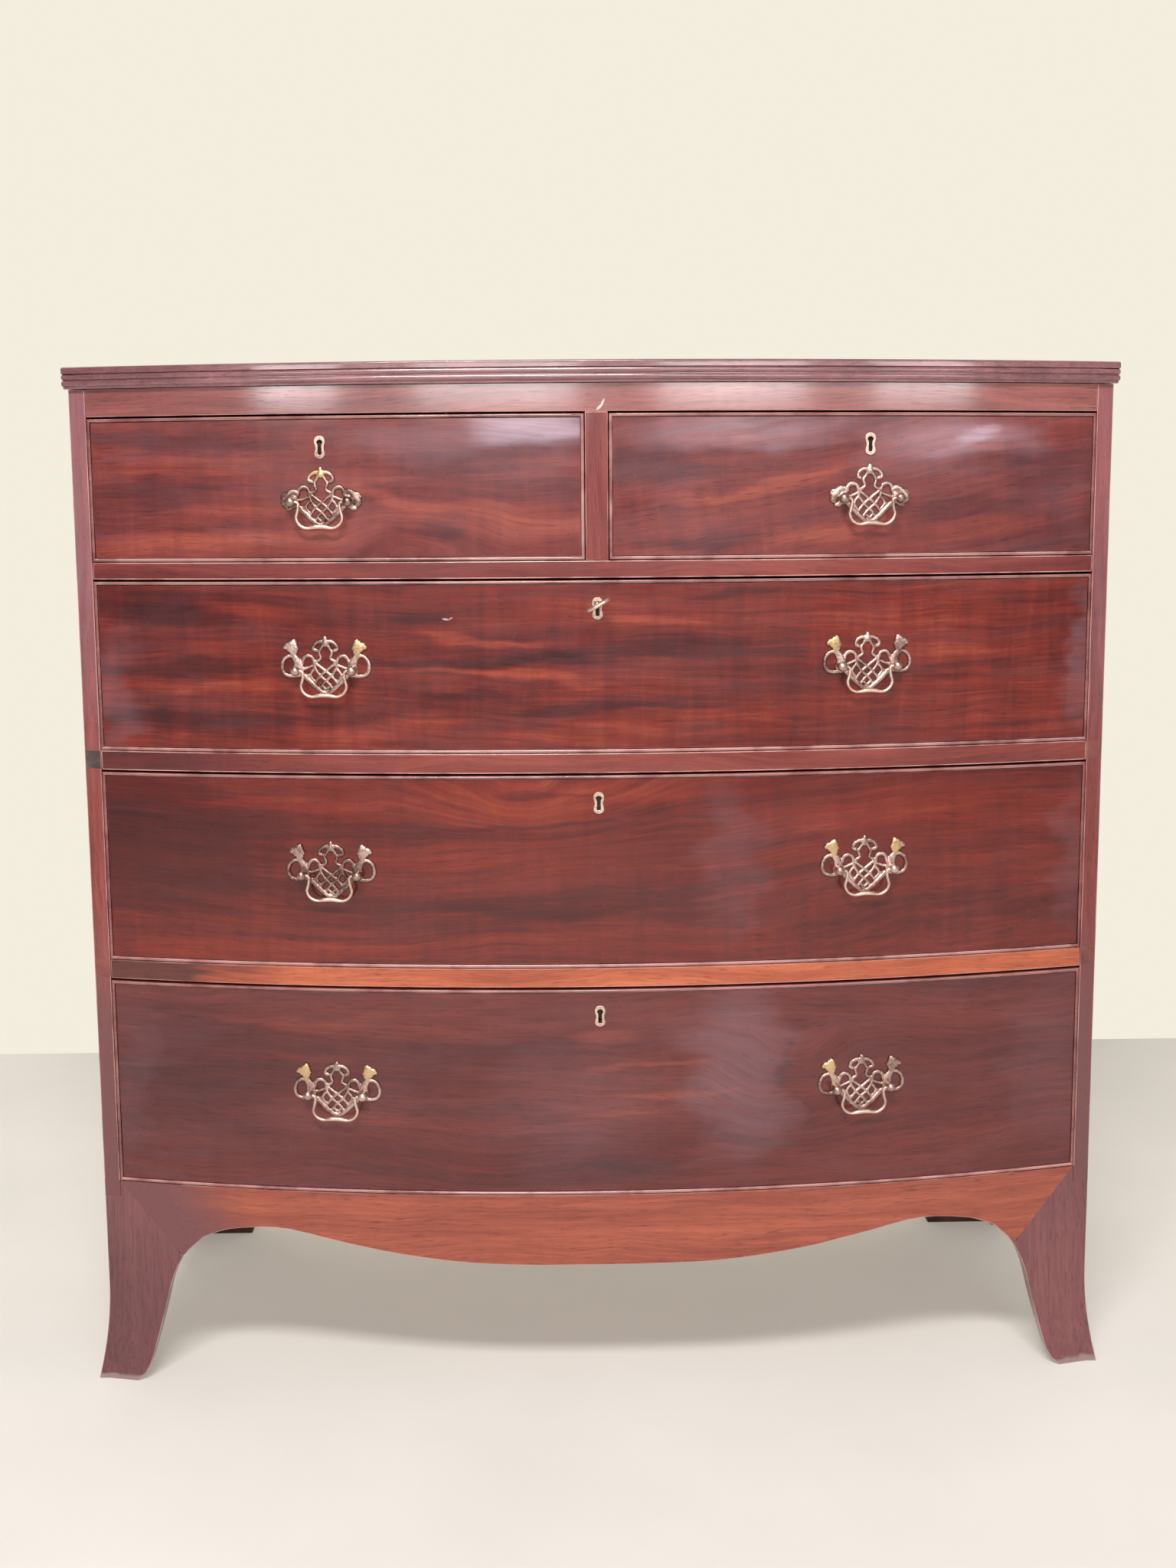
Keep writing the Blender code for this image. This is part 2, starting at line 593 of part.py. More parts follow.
def make_lock(front, drawer, top_z, key_z):
    """The lock let into the back of a drawer front, with its bolt and its key."""
    lock_y = front_y(0.0) + FRONT_T - LOCK_T
    back_y = front_y(0.0) + FRONT_T
    low = key_z - KEY_BIT - BOLT_PLAY - LOCK_FLOOR
    half = LOCK_W / 2
    recess = box_cutter("lock_recess", (-half - JOINT, lock_y - JOINT, low - JOINT),
                        (half + JOINT, back_y + CUT, top_z + CUT))
    boolean(front, recess)

    case = add("lock_case", box_mesh("lock_case", (-half, lock_y, low), (half, back_y, top_z)), STEEL, PARTS)
    way = BOLT_W / 2 + BOLT_PLAY
    pocket = box_cutter("lock_pocket", (-way, lock_y - CUT, low + LOCK_FLOOR),
                        (way, back_y - LOCK_BACK_T, top_z + CUT))
    boolean(case, pocket)

    y0, y1 = bolt_depths()
    bolt = add("lock_bolt", box_mesh("lock_bolt", (-BOLT_W / 2, y0, key_z + KEY_STEM_R + 3 * BOLT_PLAY),
                                     (BOLT_W / 2, y1, top_z - BOLT_PLAY)), BRASS, PARTS)
    origin = Vector((0.0, front_y(0.0), key_z))
    for obj in (case, bolt):
        set_origin(obj, origin)
        attach(obj, drawer)

    key = add("key", key_mesh(y1 + JOINT - front_y(0.0), back_y - LOCK_BACK_T - BOLT_PLAY - front_y(0.0)),
              BRASS, PARTS, smooth=True)
    key.location = origin
    key.rotation_euler = (0.0, -KEY_TILT, 0.0)
    attach(key, drawer)


def key_mesh(bit_start, tip):
    """The key along Y with its bow and bit in the XY plane, its origin where it enters the wood."""
    ring = bpy.data.curves.new("key_bow", "CURVE")
    ring.dimensions = "3D"
    ring.bevel_depth = KEY_BOW_R
    ring.bevel_resolution = 1
    spline = ring.splines.new("POLY")
    spline.points.add(KEY_BOW_STEPS - 1)
    centre = -KEY_REACH + KEY_BOW_HALF_H
    for i, point in enumerate(spline.points):
        angle = 2 * math.pi * i / KEY_BOW_STEPS
        point.co = ((KEY_BOW_HALF_W - KEY_BOW_R) * math.cos(angle),
                    centre + (KEY_BOW_HALF_H - KEY_BOW_R) * math.sin(angle), 0.0, 1.0)
    spline.use_cyclic_u = True
    curve = bpy.data.objects.new("key_bow_curve", ring)
    CUTTERS.objects.link(curve)
    key = add("key_blank", evaluated_mesh(curve), BRASS, CUTTERS)
    bpy.data.objects.remove(curve, do_unlink=True)

    neck = centre + KEY_BOW_HALF_H - KEY_BOW_R
    collar = neck + 2 * KEY_BOW_R
    joined = [round_cutter("key_stem", KEY_STEM_R, (0.0, neck, 0.0), (0.0, tip, 0.0)),
              round_cutter("key_collar", KEY_COLLAR_R, (0.0, collar, 0.0), (0.0, collar + KEY_COLLAR_L, 0.0)),
              box_cutter("key_bit", (-KEY_BIT, bit_start, -KEY_BIT_T / 2), (0.0, tip - JOINT, KEY_BIT_T / 2))]
    for piece in joined:
        boolean(key, piece, "UNION")
    mesh = evaluated_mesh(key)
    for old in (key, *joined):
        bpy.data.objects.remove(old, do_unlink=True)
    mesh.name = "key"
    return mesh


def plate_mesh(name, outer, holes):
    """A pierced back plate with its two posts, which hold the bail's pivots."""
    across = POST_X / PLATE_POST
    loops = [mirrored([*CROWN, *outer, *LATTICE_FOOT], across)]
    for hole in holes:
        loops += [[(side * x * across, y * MM) for x, y in hole] for side in (-1, 1)]
    loops += [mirrored(hole, across) for hole in MIDDLE_HOLES]
    plate = add(name + "_blank", outline_mesh(name, loops, 0.0, PLATE_T), BRASS, CUTTERS)
    extra = []
    for side in (-1, 1):
        post = turned_post(name + "_post")
        post.location = (side * POST_X, 0.0, 0.0)
        boolean(plate, post, "UNION")
        face = side * (POST_X - POST_HEAD_R)
        socket = round_cutter(name + "_socket", BAIL_R + SOCKET_PLAY, (face - side * CUT, 0.0, BAIL_OUT),
                              (face + side * (PIVOT_IN + SOCKET_PLAY), 0.0, BAIL_OUT), POST_SIDES)
        boolean(plate, socket)
        extra += [post, socket]
    mesh = evaluated_mesh(plate)
    for old in (plate, *extra):
        bpy.data.objects.remove(old, do_unlink=True)
    mesh.name = name
    return mesh


def turned_post(name):
    """A post with a domed head, turned about Z."""
    head = [(POST_HEAD_R * math.cos(a), BAIL_OUT + POST_HEAD_R * math.sin(a))
            for a in (math.radians(d) for d in (90, 58, 28, 0, -30))]
    profile = [*head, (POST_STEM_R, BAIL_OUT - POST_HEAD_R), (POST_STEM_R, PLATE_T / 2), (0.0, PLATE_T / 2)]
    profile[0] = (0.0, profile[0][1])
    mesh = bpy.data.meshes.new(name)
    mesh.from_pydata([(r, 0.0, z) for r, z in profile], [(i, i + 1) for i in range(len(profile) - 1)], [])
    post = hide_cutter(add(name, mesh, None, CUTTERS))
    turn = post.modifiers.new("turn", "SCREW")
    turn.steps = turn.render_steps = POST_SIDES
    turn.use_merge_vertices = True
    turn.merge_threshold = 0.00001
    turn.use_smooth_shade = False
    return post


def bail_points():
    """Centre line of a bail, from pivot to pivot, and its thickness at each point."""
    post_face = POST_X - POST_HEAD_R
    leg, corner = post_face - BAIL_CLEAR, BAIL_CORNER
    half = [(post_face + PIVOT_IN, 0.0), (post_face, 0.0)]
    for a in np.linspace(math.pi / 2, math.pi, 3)[1:]:
        half.append((post_face + BAIL_CLEAR * math.cos(a), -BAIL_CLEAR + BAIL_CLEAR * math.sin(a)))
    for a in np.linspace(0.0, math.pi / 2, BAIL_CORNER_STEPS + 1):
        half.append((leg - corner + corner * math.cos(a), -BAIL_DROP + corner - corner * math.sin(a)))
    grip = BAIL_GRIP * leg
    points = [(x, y, 1.0) for x, y in half] + [(grip, -BAIL_DROP, BAIL_SWELL)]
    left = [(-x, y, thick) for x, y, thick in reversed(points)]
    return [*points, (0.0, -BAIL_DROP + BAIL_RISE, BAIL_SWELL), *left]


def bail_mesh():
    """A bail in the XY plane, its origin on its pivots' axis."""
    curve = bpy.data.curves.new("bail", "CURVE")
    curve.dimensions = "3D"
    curve.bevel_depth = BAIL_R
    curve.bevel_resolution = 1
    curve.use_fill_caps = True
    spline = curve.splines.new("POLY")
    points = bail_points()
    spline.points.add(len(points) - 1)
    for point, (x, y, thick) in zip(spline.points, points):
        point.co = (x, y, 0.0, 1.0)
        point.radius = thick
    obj = bpy.data.objects.new("bail_curve", curve)
    CUTTERS.objects.link(obj)
    mesh = evaluated_mesh(obj)
    bpy.data.objects.remove(obj, do_unlink=True)
    return mesh


def make_pull(name, x, z, plate_shape, drawer):
    """A back plate and the bail that hangs from its posts."""
    plate = add(name + "_plate", plate_shape, BRASS, PARTS)
    place_fitting(plate, x, z, JOINT, drawer)
    bail = add(name + "_bail", BAIL, BRASS, PARTS)
    place_fitting(bail, x, z, JOINT + BAIL_OUT, drawer)


def make_drawers():
    """Two short drawers and three long ones, with their pulls."""
    half = DIVIDER_W / 2
    key_z = FRIEZE_Z - KEYHOLE_DROP_SHORT
    for name, x0, x1, pull_x in (("top_left_drawer", -INNER_X, -half, -PULL_X),
                                 ("top_right_drawer", half, INNER_X, PULL_X)):
        drawer = make_drawer(name, x0, x1, TOP_ROW_Z, FRIEZE_Z, pull_x, key_z)
        make_pull(name, pull_x, key_z - PULL_UNDER_KEY, WING_PLATE, drawer)
    rows = (("upper_drawer", UPPER_Z, RAIL_UPPER_Z, True), ("middle_drawer", MIDDLE_Z, RAIL_MIDDLE_Z, False),
            ("lower_drawer", LOWER_Z, RAIL_LOWER_Z, False))
    for name, low, high, lock in rows:
        drawer = make_drawer(name, -INNER_X, INNER_X, low, high, 0.0, high - KEYHOLE_DROP, lock)
        for side, word in ((-1, "left"), (1, "right")):
            make_pull(name + "_" + word, side * PULL_X, (low + high) / 2 - PULL_DROP, SCROLL_PLATE, drawer)


for old in list(bpy.data.objects):
    bpy.data.objects.remove(old, do_unlink=True)
PARTS = bpy.data.collections.new("bow_front_chest")
CUTTERS = bpy.data.collections.new("cutters")
for group in (PARTS, CUTTERS):
    bpy.context.scene.collection.children.link(group)

TOP_WOOD = material("top_mahogany", (0.30, 0.17, 0.15), 0.30)
CASE_WOOD = material("case_mahogany", (0.36, 0.16, 0.12), 0.32)
DRAWER_WOOD = material("drawer_mahogany", (0.28, 0.10, 0.08), 0.28)
APRON_WOOD = material("apron_mahogany", (0.45, 0.13, 0.07), 0.30)
BASE_WOOD = material("foot_mahogany", (0.26, 0.10, 0.10), 0.36)
OAK = material("drawer_oak", (0.45, 0.30, 0.17), 0.60)
PINE = material("pine", (0.50, 0.34, 0.19), 0.65)
BRASS = material("aged_brass", (0.72, 0.56, 0.36), 0.35, 1.0)
STEEL = material("lock_steel", (0.35, 0.34, 0.33), 0.45, 1.0)

ESCUTCHEON = outline_mesh("escutcheon", [mirrored(ESCUTCHEON_EDGE), mirrored(KEYHOLE_EDGE)],
                          0.0, ESCUTCHEON_T)
SCROLL_PLATE = plate_mesh("scroll_plate", SCROLL, (*SIDE_HOLES, SCROLL_HOLE))
WING_PLATE = plate_mesh("wing_plate", WING, SIDE_HOLES)
BAIL = bail_mesh()

make_case()
make_base()
make_drawers()
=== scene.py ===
"""Bow-front mahogany chest of drawers: its looks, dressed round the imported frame.

Metres, +Z up. The floor is z = 0 and the front faces -Y. Every piece keeps its place in its own mesh.
"""
import math

import bmesh
import bpy
from mathutils import Matrix, Vector


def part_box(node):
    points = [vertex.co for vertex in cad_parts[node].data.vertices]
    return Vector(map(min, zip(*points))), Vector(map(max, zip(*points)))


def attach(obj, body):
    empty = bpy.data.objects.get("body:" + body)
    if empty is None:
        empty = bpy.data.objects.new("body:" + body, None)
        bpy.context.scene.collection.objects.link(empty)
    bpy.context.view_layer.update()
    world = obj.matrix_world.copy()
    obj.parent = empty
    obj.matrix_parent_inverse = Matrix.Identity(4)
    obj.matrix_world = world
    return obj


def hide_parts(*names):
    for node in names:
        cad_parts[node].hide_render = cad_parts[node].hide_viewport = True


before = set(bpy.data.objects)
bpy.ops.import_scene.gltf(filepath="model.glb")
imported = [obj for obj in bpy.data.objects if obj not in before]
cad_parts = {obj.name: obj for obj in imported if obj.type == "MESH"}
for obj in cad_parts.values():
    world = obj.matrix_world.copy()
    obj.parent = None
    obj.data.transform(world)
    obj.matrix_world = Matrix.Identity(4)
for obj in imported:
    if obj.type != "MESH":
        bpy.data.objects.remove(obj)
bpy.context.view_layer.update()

MM = 0.001
X, Y, Z = 0, 1, 2
SIDES = ((-1, "left"), (1, "right"))
JOINT = 0.0003            # gap between pieces that touch
UPRIGHT = Matrix.Rotation(math.radians(90), 4, "X")

# Case, read from the frame
INNER_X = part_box("side_right")[0].x
HALF_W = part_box("side_right")[1].x
BACK_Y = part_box("side_right")[1].y
CORNER_Y = min(v.co.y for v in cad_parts["side_right"].data.vertices if v.co.x > HALF_W - MM)
BOW = CORNER_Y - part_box("rail_lower")[0].y
BOW_RADIUS = (HALF_W ** 2 + BOW ** 2) / (2 * BOW)
BOW_CUTS = [HALF_W * (i / 20 - 1) for i in range(1, 40)]
BACK_BOARDS = 6
BACK_BOARD_W = 2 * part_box("back_panel")[1].x / BACK_BOARDS
NAIL_R = 2.4 * MM
LEG_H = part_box("apron_left")[1].z
LOWER_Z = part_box("bottom_board")[1].z
RAIL_ARRIS = 1.2 * MM

# Top: reeds under a plain band, and a step under the reeds, measured down from the upper face
TOP_ARRIS = 0.0016
BAND_H = 0.0064
REED_H = 0.0055
REED_SPACE = 0.0006
REED_DEPTH = 0.0013
UNDER_STEP = 0.0016

# Feet and aprons, drawn as in the frame
FOOT_T = 0.022
FOOT_TOP = LEG_H + 0.2 * MM
FOOT_LEVELS = [FOOT_TOP * i / 22 for i in range(1, 22)]
FOOT_ARRIS = 0.7 * MM
FLARE = 0.012
FLARE_H = 0.100
FOOT_W = 0.105
ARCH_END_Z = LEG_H - 0.037
FOOT_EDGE = ((0.000, 0.030), (0.075, 0.041), (0.214, 0.049), (0.472, 0.0605),
             (0.692, 0.070), (0.868, 0.084), (1.000, FOOT_W))
APRON_EDGE = ((0.000, 0.057), (0.290, 0.0555), (0.490, 0.047), (0.660, 0.034),
              (0.800, 0.023), (0.930, 0.027), (1.000, 0.037))
SIDE_APRON_EDGE = ((0.000, 0.046), (0.450, 0.038), (0.760, 0.025), (0.920, 0.028), (1.000, 0.037))
APRON_T = 0.020
APRON_FINE_X = 0.380             # beyond it the edge bends more sharply, and is cut more closely
APRON_ARRIS = 0.8 * MM
MITRE_X, MITRE_Z = 0.433, 0.136  # lower end of the slanting joint between apron and foot
MITRE_RISE = (LOWER_Z - MITRE_Z) / (INNER_X - MITRE_X)
REAR_TOE = 0.088
REAR_TOE_MIN = 0.034

# Drawers
FRONT_T = 0.022
BEAD_W = 0.003
BEAD_PROUD = 0.002
BOX_SIDE_T = 0.010
BOX_BACK_T = 0.009
BOX_ARRIS = 0.6 * MM
LOW_DRAWER_H = 0.16              # a drawer front under this height has a dovetail fewer
KEYHOLE_R = 3.1 * MM
KEYHOLE_SLOT_X = 2.0 * MM
KEYHOLE_SLOT_H = 12 * MM
LOCK_SCREW_X = 24 * MM
LOCK_SCREW_R = 2.6 * MM
DRAWERS = ("top_left_drawer", "top_right_drawer", "upper_drawer", "middle_drawer", "lower_drawer")

# Pulls, drawn in their own plane in mm: X across, Y up, origin midway between the posts
PULL_X = 0.265                   # metres either side of the middle
POST_X = 28.0
POST_HEAD_R = 5.0
POST_STEM_R = 3.0
BAIL_OUT = 10.5
BAIL_R = 1.5
BAIL_SWELL = 1.45
BAIL_DROP = 25.0
BAIL_CORNER = 11.0
BAIL_LEG = 20.2
BAIL_BULGE = 2.4
BAIL_RISE = 1.3
BAIL_GRIP = 8.5                  # half of the swelled part
STRAND_SWELL = 1.36
CASTING_RELIEF = 3.0
CASTING_VOXEL = 0.42
# Each strand has its points and its half widths along them
LATTICE = (
    (((0.0, 31.2), (0.0, 26.0)), (1.8, 2.6)),
    (((0.0, 27.4), (4.4, 28.2), (8.8, 26.6), (11.6, 23.6), (11.8, 20.4), (9.4, 19.4)),
     (1.9, 1.6, 1.5, 1.4, 1.4, 1.6)),
    (((1.8, 26.0), (3.8, 22.2), (6.2, 18.2), (5.6, 14.6), (4.8, 12.0), (7.4, 9.6), (11.4, 8.2)),
     (1.5, 1.2, 1.2, 1.2, 1.2, 1.3, 1.5)),
    (((12.0, 8.6), (5.8, 3.8), (0.0, -0.7), (-5.6, -5.4), (-10.6, -11.6), (-11.8, -14.4)), (1.25,)),
    (((11.8, 8.2), (10.6, 2.4), (5.6, -5.2), (0.0, -10.2), (-4.4, -14.6), (-6.4, -18.6)), (1.25,)),
    (((10.6, 2.4), (15.2, -4.6), (10.6, -11.8)), (1.2,)),
    (((23.0, -3.8), (16.0, -10.8), (9.8, -16.6), (3.6, -21.6), (0.0, -22.6)), (1.7, 1.8, 1.9, 1.8, 1.6)),
    (((4.4, -14.6), (0.0, -19.0)), (1.2,)),
    (((11.4, 8.2), (13.0, 12.4), (17.6, 14.2), (21.6, 12.0), (23.6, 7.0), (26.4, 1.5)),
     (1.5, 1.5, 1.6, 1.5, 1.7, 2.2)),
    (((12.4, 5.0), (18.4, 2.4), (25.0, 0.6)), (1.1, 1.1, 1.6)),
    (((15.2, -4.6), (19.6, -5.2), (25.4, -2.6)), (1.2, 1.2, 2.0)),
)
SCROLL = (
    (((26.8, -2.0), (26.8, 4.0), (28.2, 9.4), (31.0, 14.0), (32.2, 18.4)), (3.8, 3.6, 3.0, 2.4, 2.6)),
    (((31.4, 13.6), (36.4, 14.0), (41.0, 11.0), (43.2, 5.8), (42.8, -0.2), (39.6, -4.4), (34.4, -5.6),
      (29.4, -5.4)), (1.45,)),
    (((31.4, 18.6), (32.4, 21.8), (32.4, 24.4)), (3.2, 4.6, 3.8)),
    (((33.6, 23.0), (37.2, 23.8), (39.6, 22.4)), (3.2, 2.6, 1.8)),
    (((32.4, 24.6), (31.2, 27.6)), (3.2, 2.3)),
    (((31.6, 21.6), (28.4, 21.2)), (2.8, 1.8)),
)
WING = (
    (((22.8, 8.0), (27.0, 9.8), (31.4, 7.4), (35.4, 2.0)), (1.8, 2.3, 2.6, 3.2)),
    (((35.4, 2.0), (36.6, -1.0), (34.4, -3.6)), (3.2, 2.6, 1.4)),
    (((28.0, -2.0), (30.6, -5.6), (34.0, -6.6)), (2.4, 2.1, 1.3)),
    (((32.6, 7.0), (36.6, 6.8), (39.0, 4.8)), (2.1, 1.8, 1.1)),
    (((26.5, -2.0), (26.5, 3.0)), (3.0, 3.0)),
)
ESCUTCHEON_T = 1.2
ESCUTCHEON_EDGE = ((0.0, 6.6), (3.1, 5.8), (5.0, 3.2), (5.2, 0.2), (4.3, -3.0), (4.1, -5.6),
                   (4.9, -8.6), (5.0, -11.6), (3.2, -13.9), (0.0, -15.0))
KEYHOLE_EDGE = ((0.0, 2.9), (2.1, 2.1), (2.9, 0.0), (1.7, -2.6), (1.8, -10.4), (0.0, -11.4))

# Key of the upper long drawer, in mm
KEY_TILT = math.radians(29.0)
KEY_REACH = 33.0
KEY_BOW_HALF_W = 13.0
KEY_BOW_HALF_H = 9.0
KEY_BOW_R = 1.7
KEY_STEM_R = 2.4

# Camera, which stands where the photograph was taken from
EYE = (-0.0517, -2.0403, 0.9018)
PITCH, YAW, ROLL = -0.14624, -0.02268, -0.00732
LENS = 43.185

# Lamps and room. Each window stands between two angles from straight ahead, in degrees.
WALL_Y = 1.04
ROOM_LIGHT = 0.36
CEILING_POWER = 126
DAYLIGHT = (1.0, 0.985, 0.97)
WINDOWS = (("window_far_left", -30.0, -22.5), ("window_left", -15.3, -0.2),
           ("window_right", 7.5, 21.2), ("window_far_right", 27.6, 36.4))
WINDOW_AWAY = 4.0
WINDOW_Z = 1.60
WINDOW_H = 0.84
WINDOW_GLOW = 7.0


def paint(red, green, blue):
    """A colour as it is read on a screen, from 0 to 255, made linear."""
    def linear(value):
        value /= 255
        return value / 12.92 if value <= 0.04045 else ((value + 0.055) / 1.055) ** 2.4
    return (linear(red), linear(green), linear(blue), 1.0)


def paints(*colours):
    return [paint(*colour) for colour in colours]


class Finish:
    """A material in the making. Each method adds a node and gives back its output."""

    def __init__(self, name, slot=None):
        self.material = bpy.data.materials.new(name)
        self.material.use_nodes = True
        self.tree = self.material.node_tree
        self.tree.nodes.clear()
        self.place = self.node("ShaderNodeTexCoord", {}).outputs["Object"]

    def node(self, kind, inputs, **settings):
        """One node, with its settings and with its inputs linked or set."""
        made = self.tree.nodes.new(kind)
        for key, value in settings.items():
            setattr(made, key, value)
        for key, value in inputs.items():
            if isinstance(value, bpy.types.NodeSocket):
                self.tree.links.new(value, made.inputs[key])
            else:
                made.inputs[key].default_value = value
        return made

    def mapped(self, vector, shift=(0, 0, 0), turn=(0, 0, 0), size=(1, 1, 1), kind="POINT"):
        inputs = {"Vector": vector, "Location": shift, "Rotation": turn, "Scale": size}
        return self.node("ShaderNodeMapping", inputs, vector_type=kind).outputs["Vector"]

    def noise(self, vector, size=(1, 1, 1), detail=2.0, roughness=0.5, distortion=0.0, out="Fac"):
        """Noise that is stretched by size, which counts its waves in a metre along each axis."""
        inputs = {"Vector": self.mapped(vector, size=size), "Scale": 1.0, "Detail": detail,
                  "Roughness": roughness, "Distortion": distortion}
        return self.node("ShaderNodeTexNoise", inputs).outputs[out]

    def maths(self, operation, a, b=0.0, c=0.0):
        return self.node("ShaderNodeMath", {0: a, 1: b, 2: c}, operation=operation).outputs[0]

    def plus(self, a, b):
        return self.maths("ADD", a, b)

    def times(self, a, b, more=0.0):
        return self.maths("MULTIPLY_ADD", a, b, more)

    def swing(self, noise, amount):
        """A noise as a swing to both sides of 0."""
        return self.times(self.plus(noise, -0.5), amount)

    def vector(self, operation, a, b):
        return self.node("ShaderNodeVectorMath", {0: a, 1: b}, operation=operation).outputs[0]

    def raised(self, height, x=0.0):
        """A vector from a height along Z, and a length along X."""
        return self.node("ShaderNodeCombineXYZ", {"X": x, "Z": height}).outputs[0]

    def along(self, axis):
        """The place along one axis."""
        return self.node("ShaderNodeSeparateXYZ", {"Vector": self.place}).outputs[axis]

    def between(self, value, low, high, start=0.0, end=1.0):
        """A smooth step from start to end, as value goes from low to high."""
        inputs = {"Value": value, "From Min": low, "From Max": high, "To Min": start, "To Max": end}
        return self.node("ShaderNodeMapRange", inputs, interpolation_type="SMOOTHSTEP").outputs["Result"]

    def ramp(self, value, stops):
        """A colour ramp through stops of place and colour."""
        made = self.node("ShaderNodeValToRGB", {"Fac": value})
        elements = made.color_ramp.elements
        for element, (at, colour) in zip(elements, stops):
            element.position, element.color = at, colour
        for at, colour in stops[2:]:
            elements.new(at).color = colour
        return made.outputs["Color"]

    def blend(self, share, a, b, kind="MIX"):
        inputs = {0: share, 6: a, 7: b}
        return self.node("ShaderNodeMix", inputs, data_type="RGBA", blend_type=kind).outputs[2]

    def worn_and_lit(self):
        """1 on the rounded edges of a piece, and 0 elsewhere."""
        return self.node("ShaderNodeAttribute", {}, attribute_name="wear_and_highlight").outputs["Fac"]

    def spots(self, vector, listed, total=0.0):
        """The sum of soft oval spots: each has its middle, its half sizes, its lean and its amount."""
        for x, z, wide, high, lean, amount in listed:
            turn = (0, -math.radians(lean), 0)
            local = self.mapped(vector, (x, 0, z), turn, (wide, 10, high), "TEXTURE")
            cone = self.node("ShaderNodeTexGradient", {"Vector": local}, gradient_type="SPHERICAL")
            total = self.times(self.between(cone.outputs["Fac"], 0.0, 0.75), amount, total)
        return total

    def surface(self, colour, rough, relief, strength, depth, **more):
        """Ends the material with a Principled shader, with a relief of this strength and depth."""
        bump = self.node("ShaderNodeBump", {"Height": relief, "Strength": strength, "Distance": depth})
        inputs = {"Base Color": colour, "Roughness": rough, "Normal": bump.outputs["Normal"], **more}
        shader = self.node("ShaderNodeBsdfPrincipled", inputs)
        self.node("ShaderNodeOutputMaterial", {"Surface": shader.outputs[0]})
        return self.material


GRAIN_TURN = {"X": (0.0, 0.0, 0.0), "Y": (0.0, 0.0, math.radians(-90)), "Z": (0.0, math.radians(90), 0.0)}
TONES = {
    # The top's tones are pale and greyish, partly painted sheen of the light that its edge reflects.
    "top": paints((76, 44, 50), (108, 66, 70), (134, 86, 90), (166, 114, 116)),
    "case": paints((64, 22, 26), (94, 33, 33), (119, 49, 44), (144, 70, 58)),
    "frieze": paints((86, 42, 43), (118, 61, 59), (144, 81, 75), (170, 105, 97)),
    "stile": paints((86, 37, 37), (119, 54, 51), (146, 74, 69), (174, 98, 89)),
    "bead": paints((66, 26, 30), (98, 44, 46), (130, 70, 68), (182, 120, 114)),
    "row_one": paints((66, 28, 32), (94, 38, 38), (120, 51, 44), (148, 73, 57)),
    "row_two": paints((48, 14, 17), (82, 23, 21), (114, 38, 28), (154, 70, 47)),
    "row_three": paints((58, 16, 17), (80, 20, 17), (110, 33, 23), (146, 59, 35)),
    "row_four": paints((56, 22, 27), (80, 29, 29), (102, 40, 36), (131, 59, 43)),
    "rail_lower": paints((88, 42, 38), (158, 76, 50), (185, 98, 65), (206, 124, 86)),
    "apron": paints((100, 43, 38), (137, 65, 50), (160, 81, 60), (184, 105, 78)),
    "foot": paints((79, 43, 47), (104, 61, 63), (122, 73, 74), (147, 97, 95)),
}
TONE_STOPS = (0.22, 0.42, 0.58, 0.84)
# The pale colour of clouded old polish, and of painted sheen.
POLISH_BLOOM_AND_SHEEN = paint(180, 160, 174)


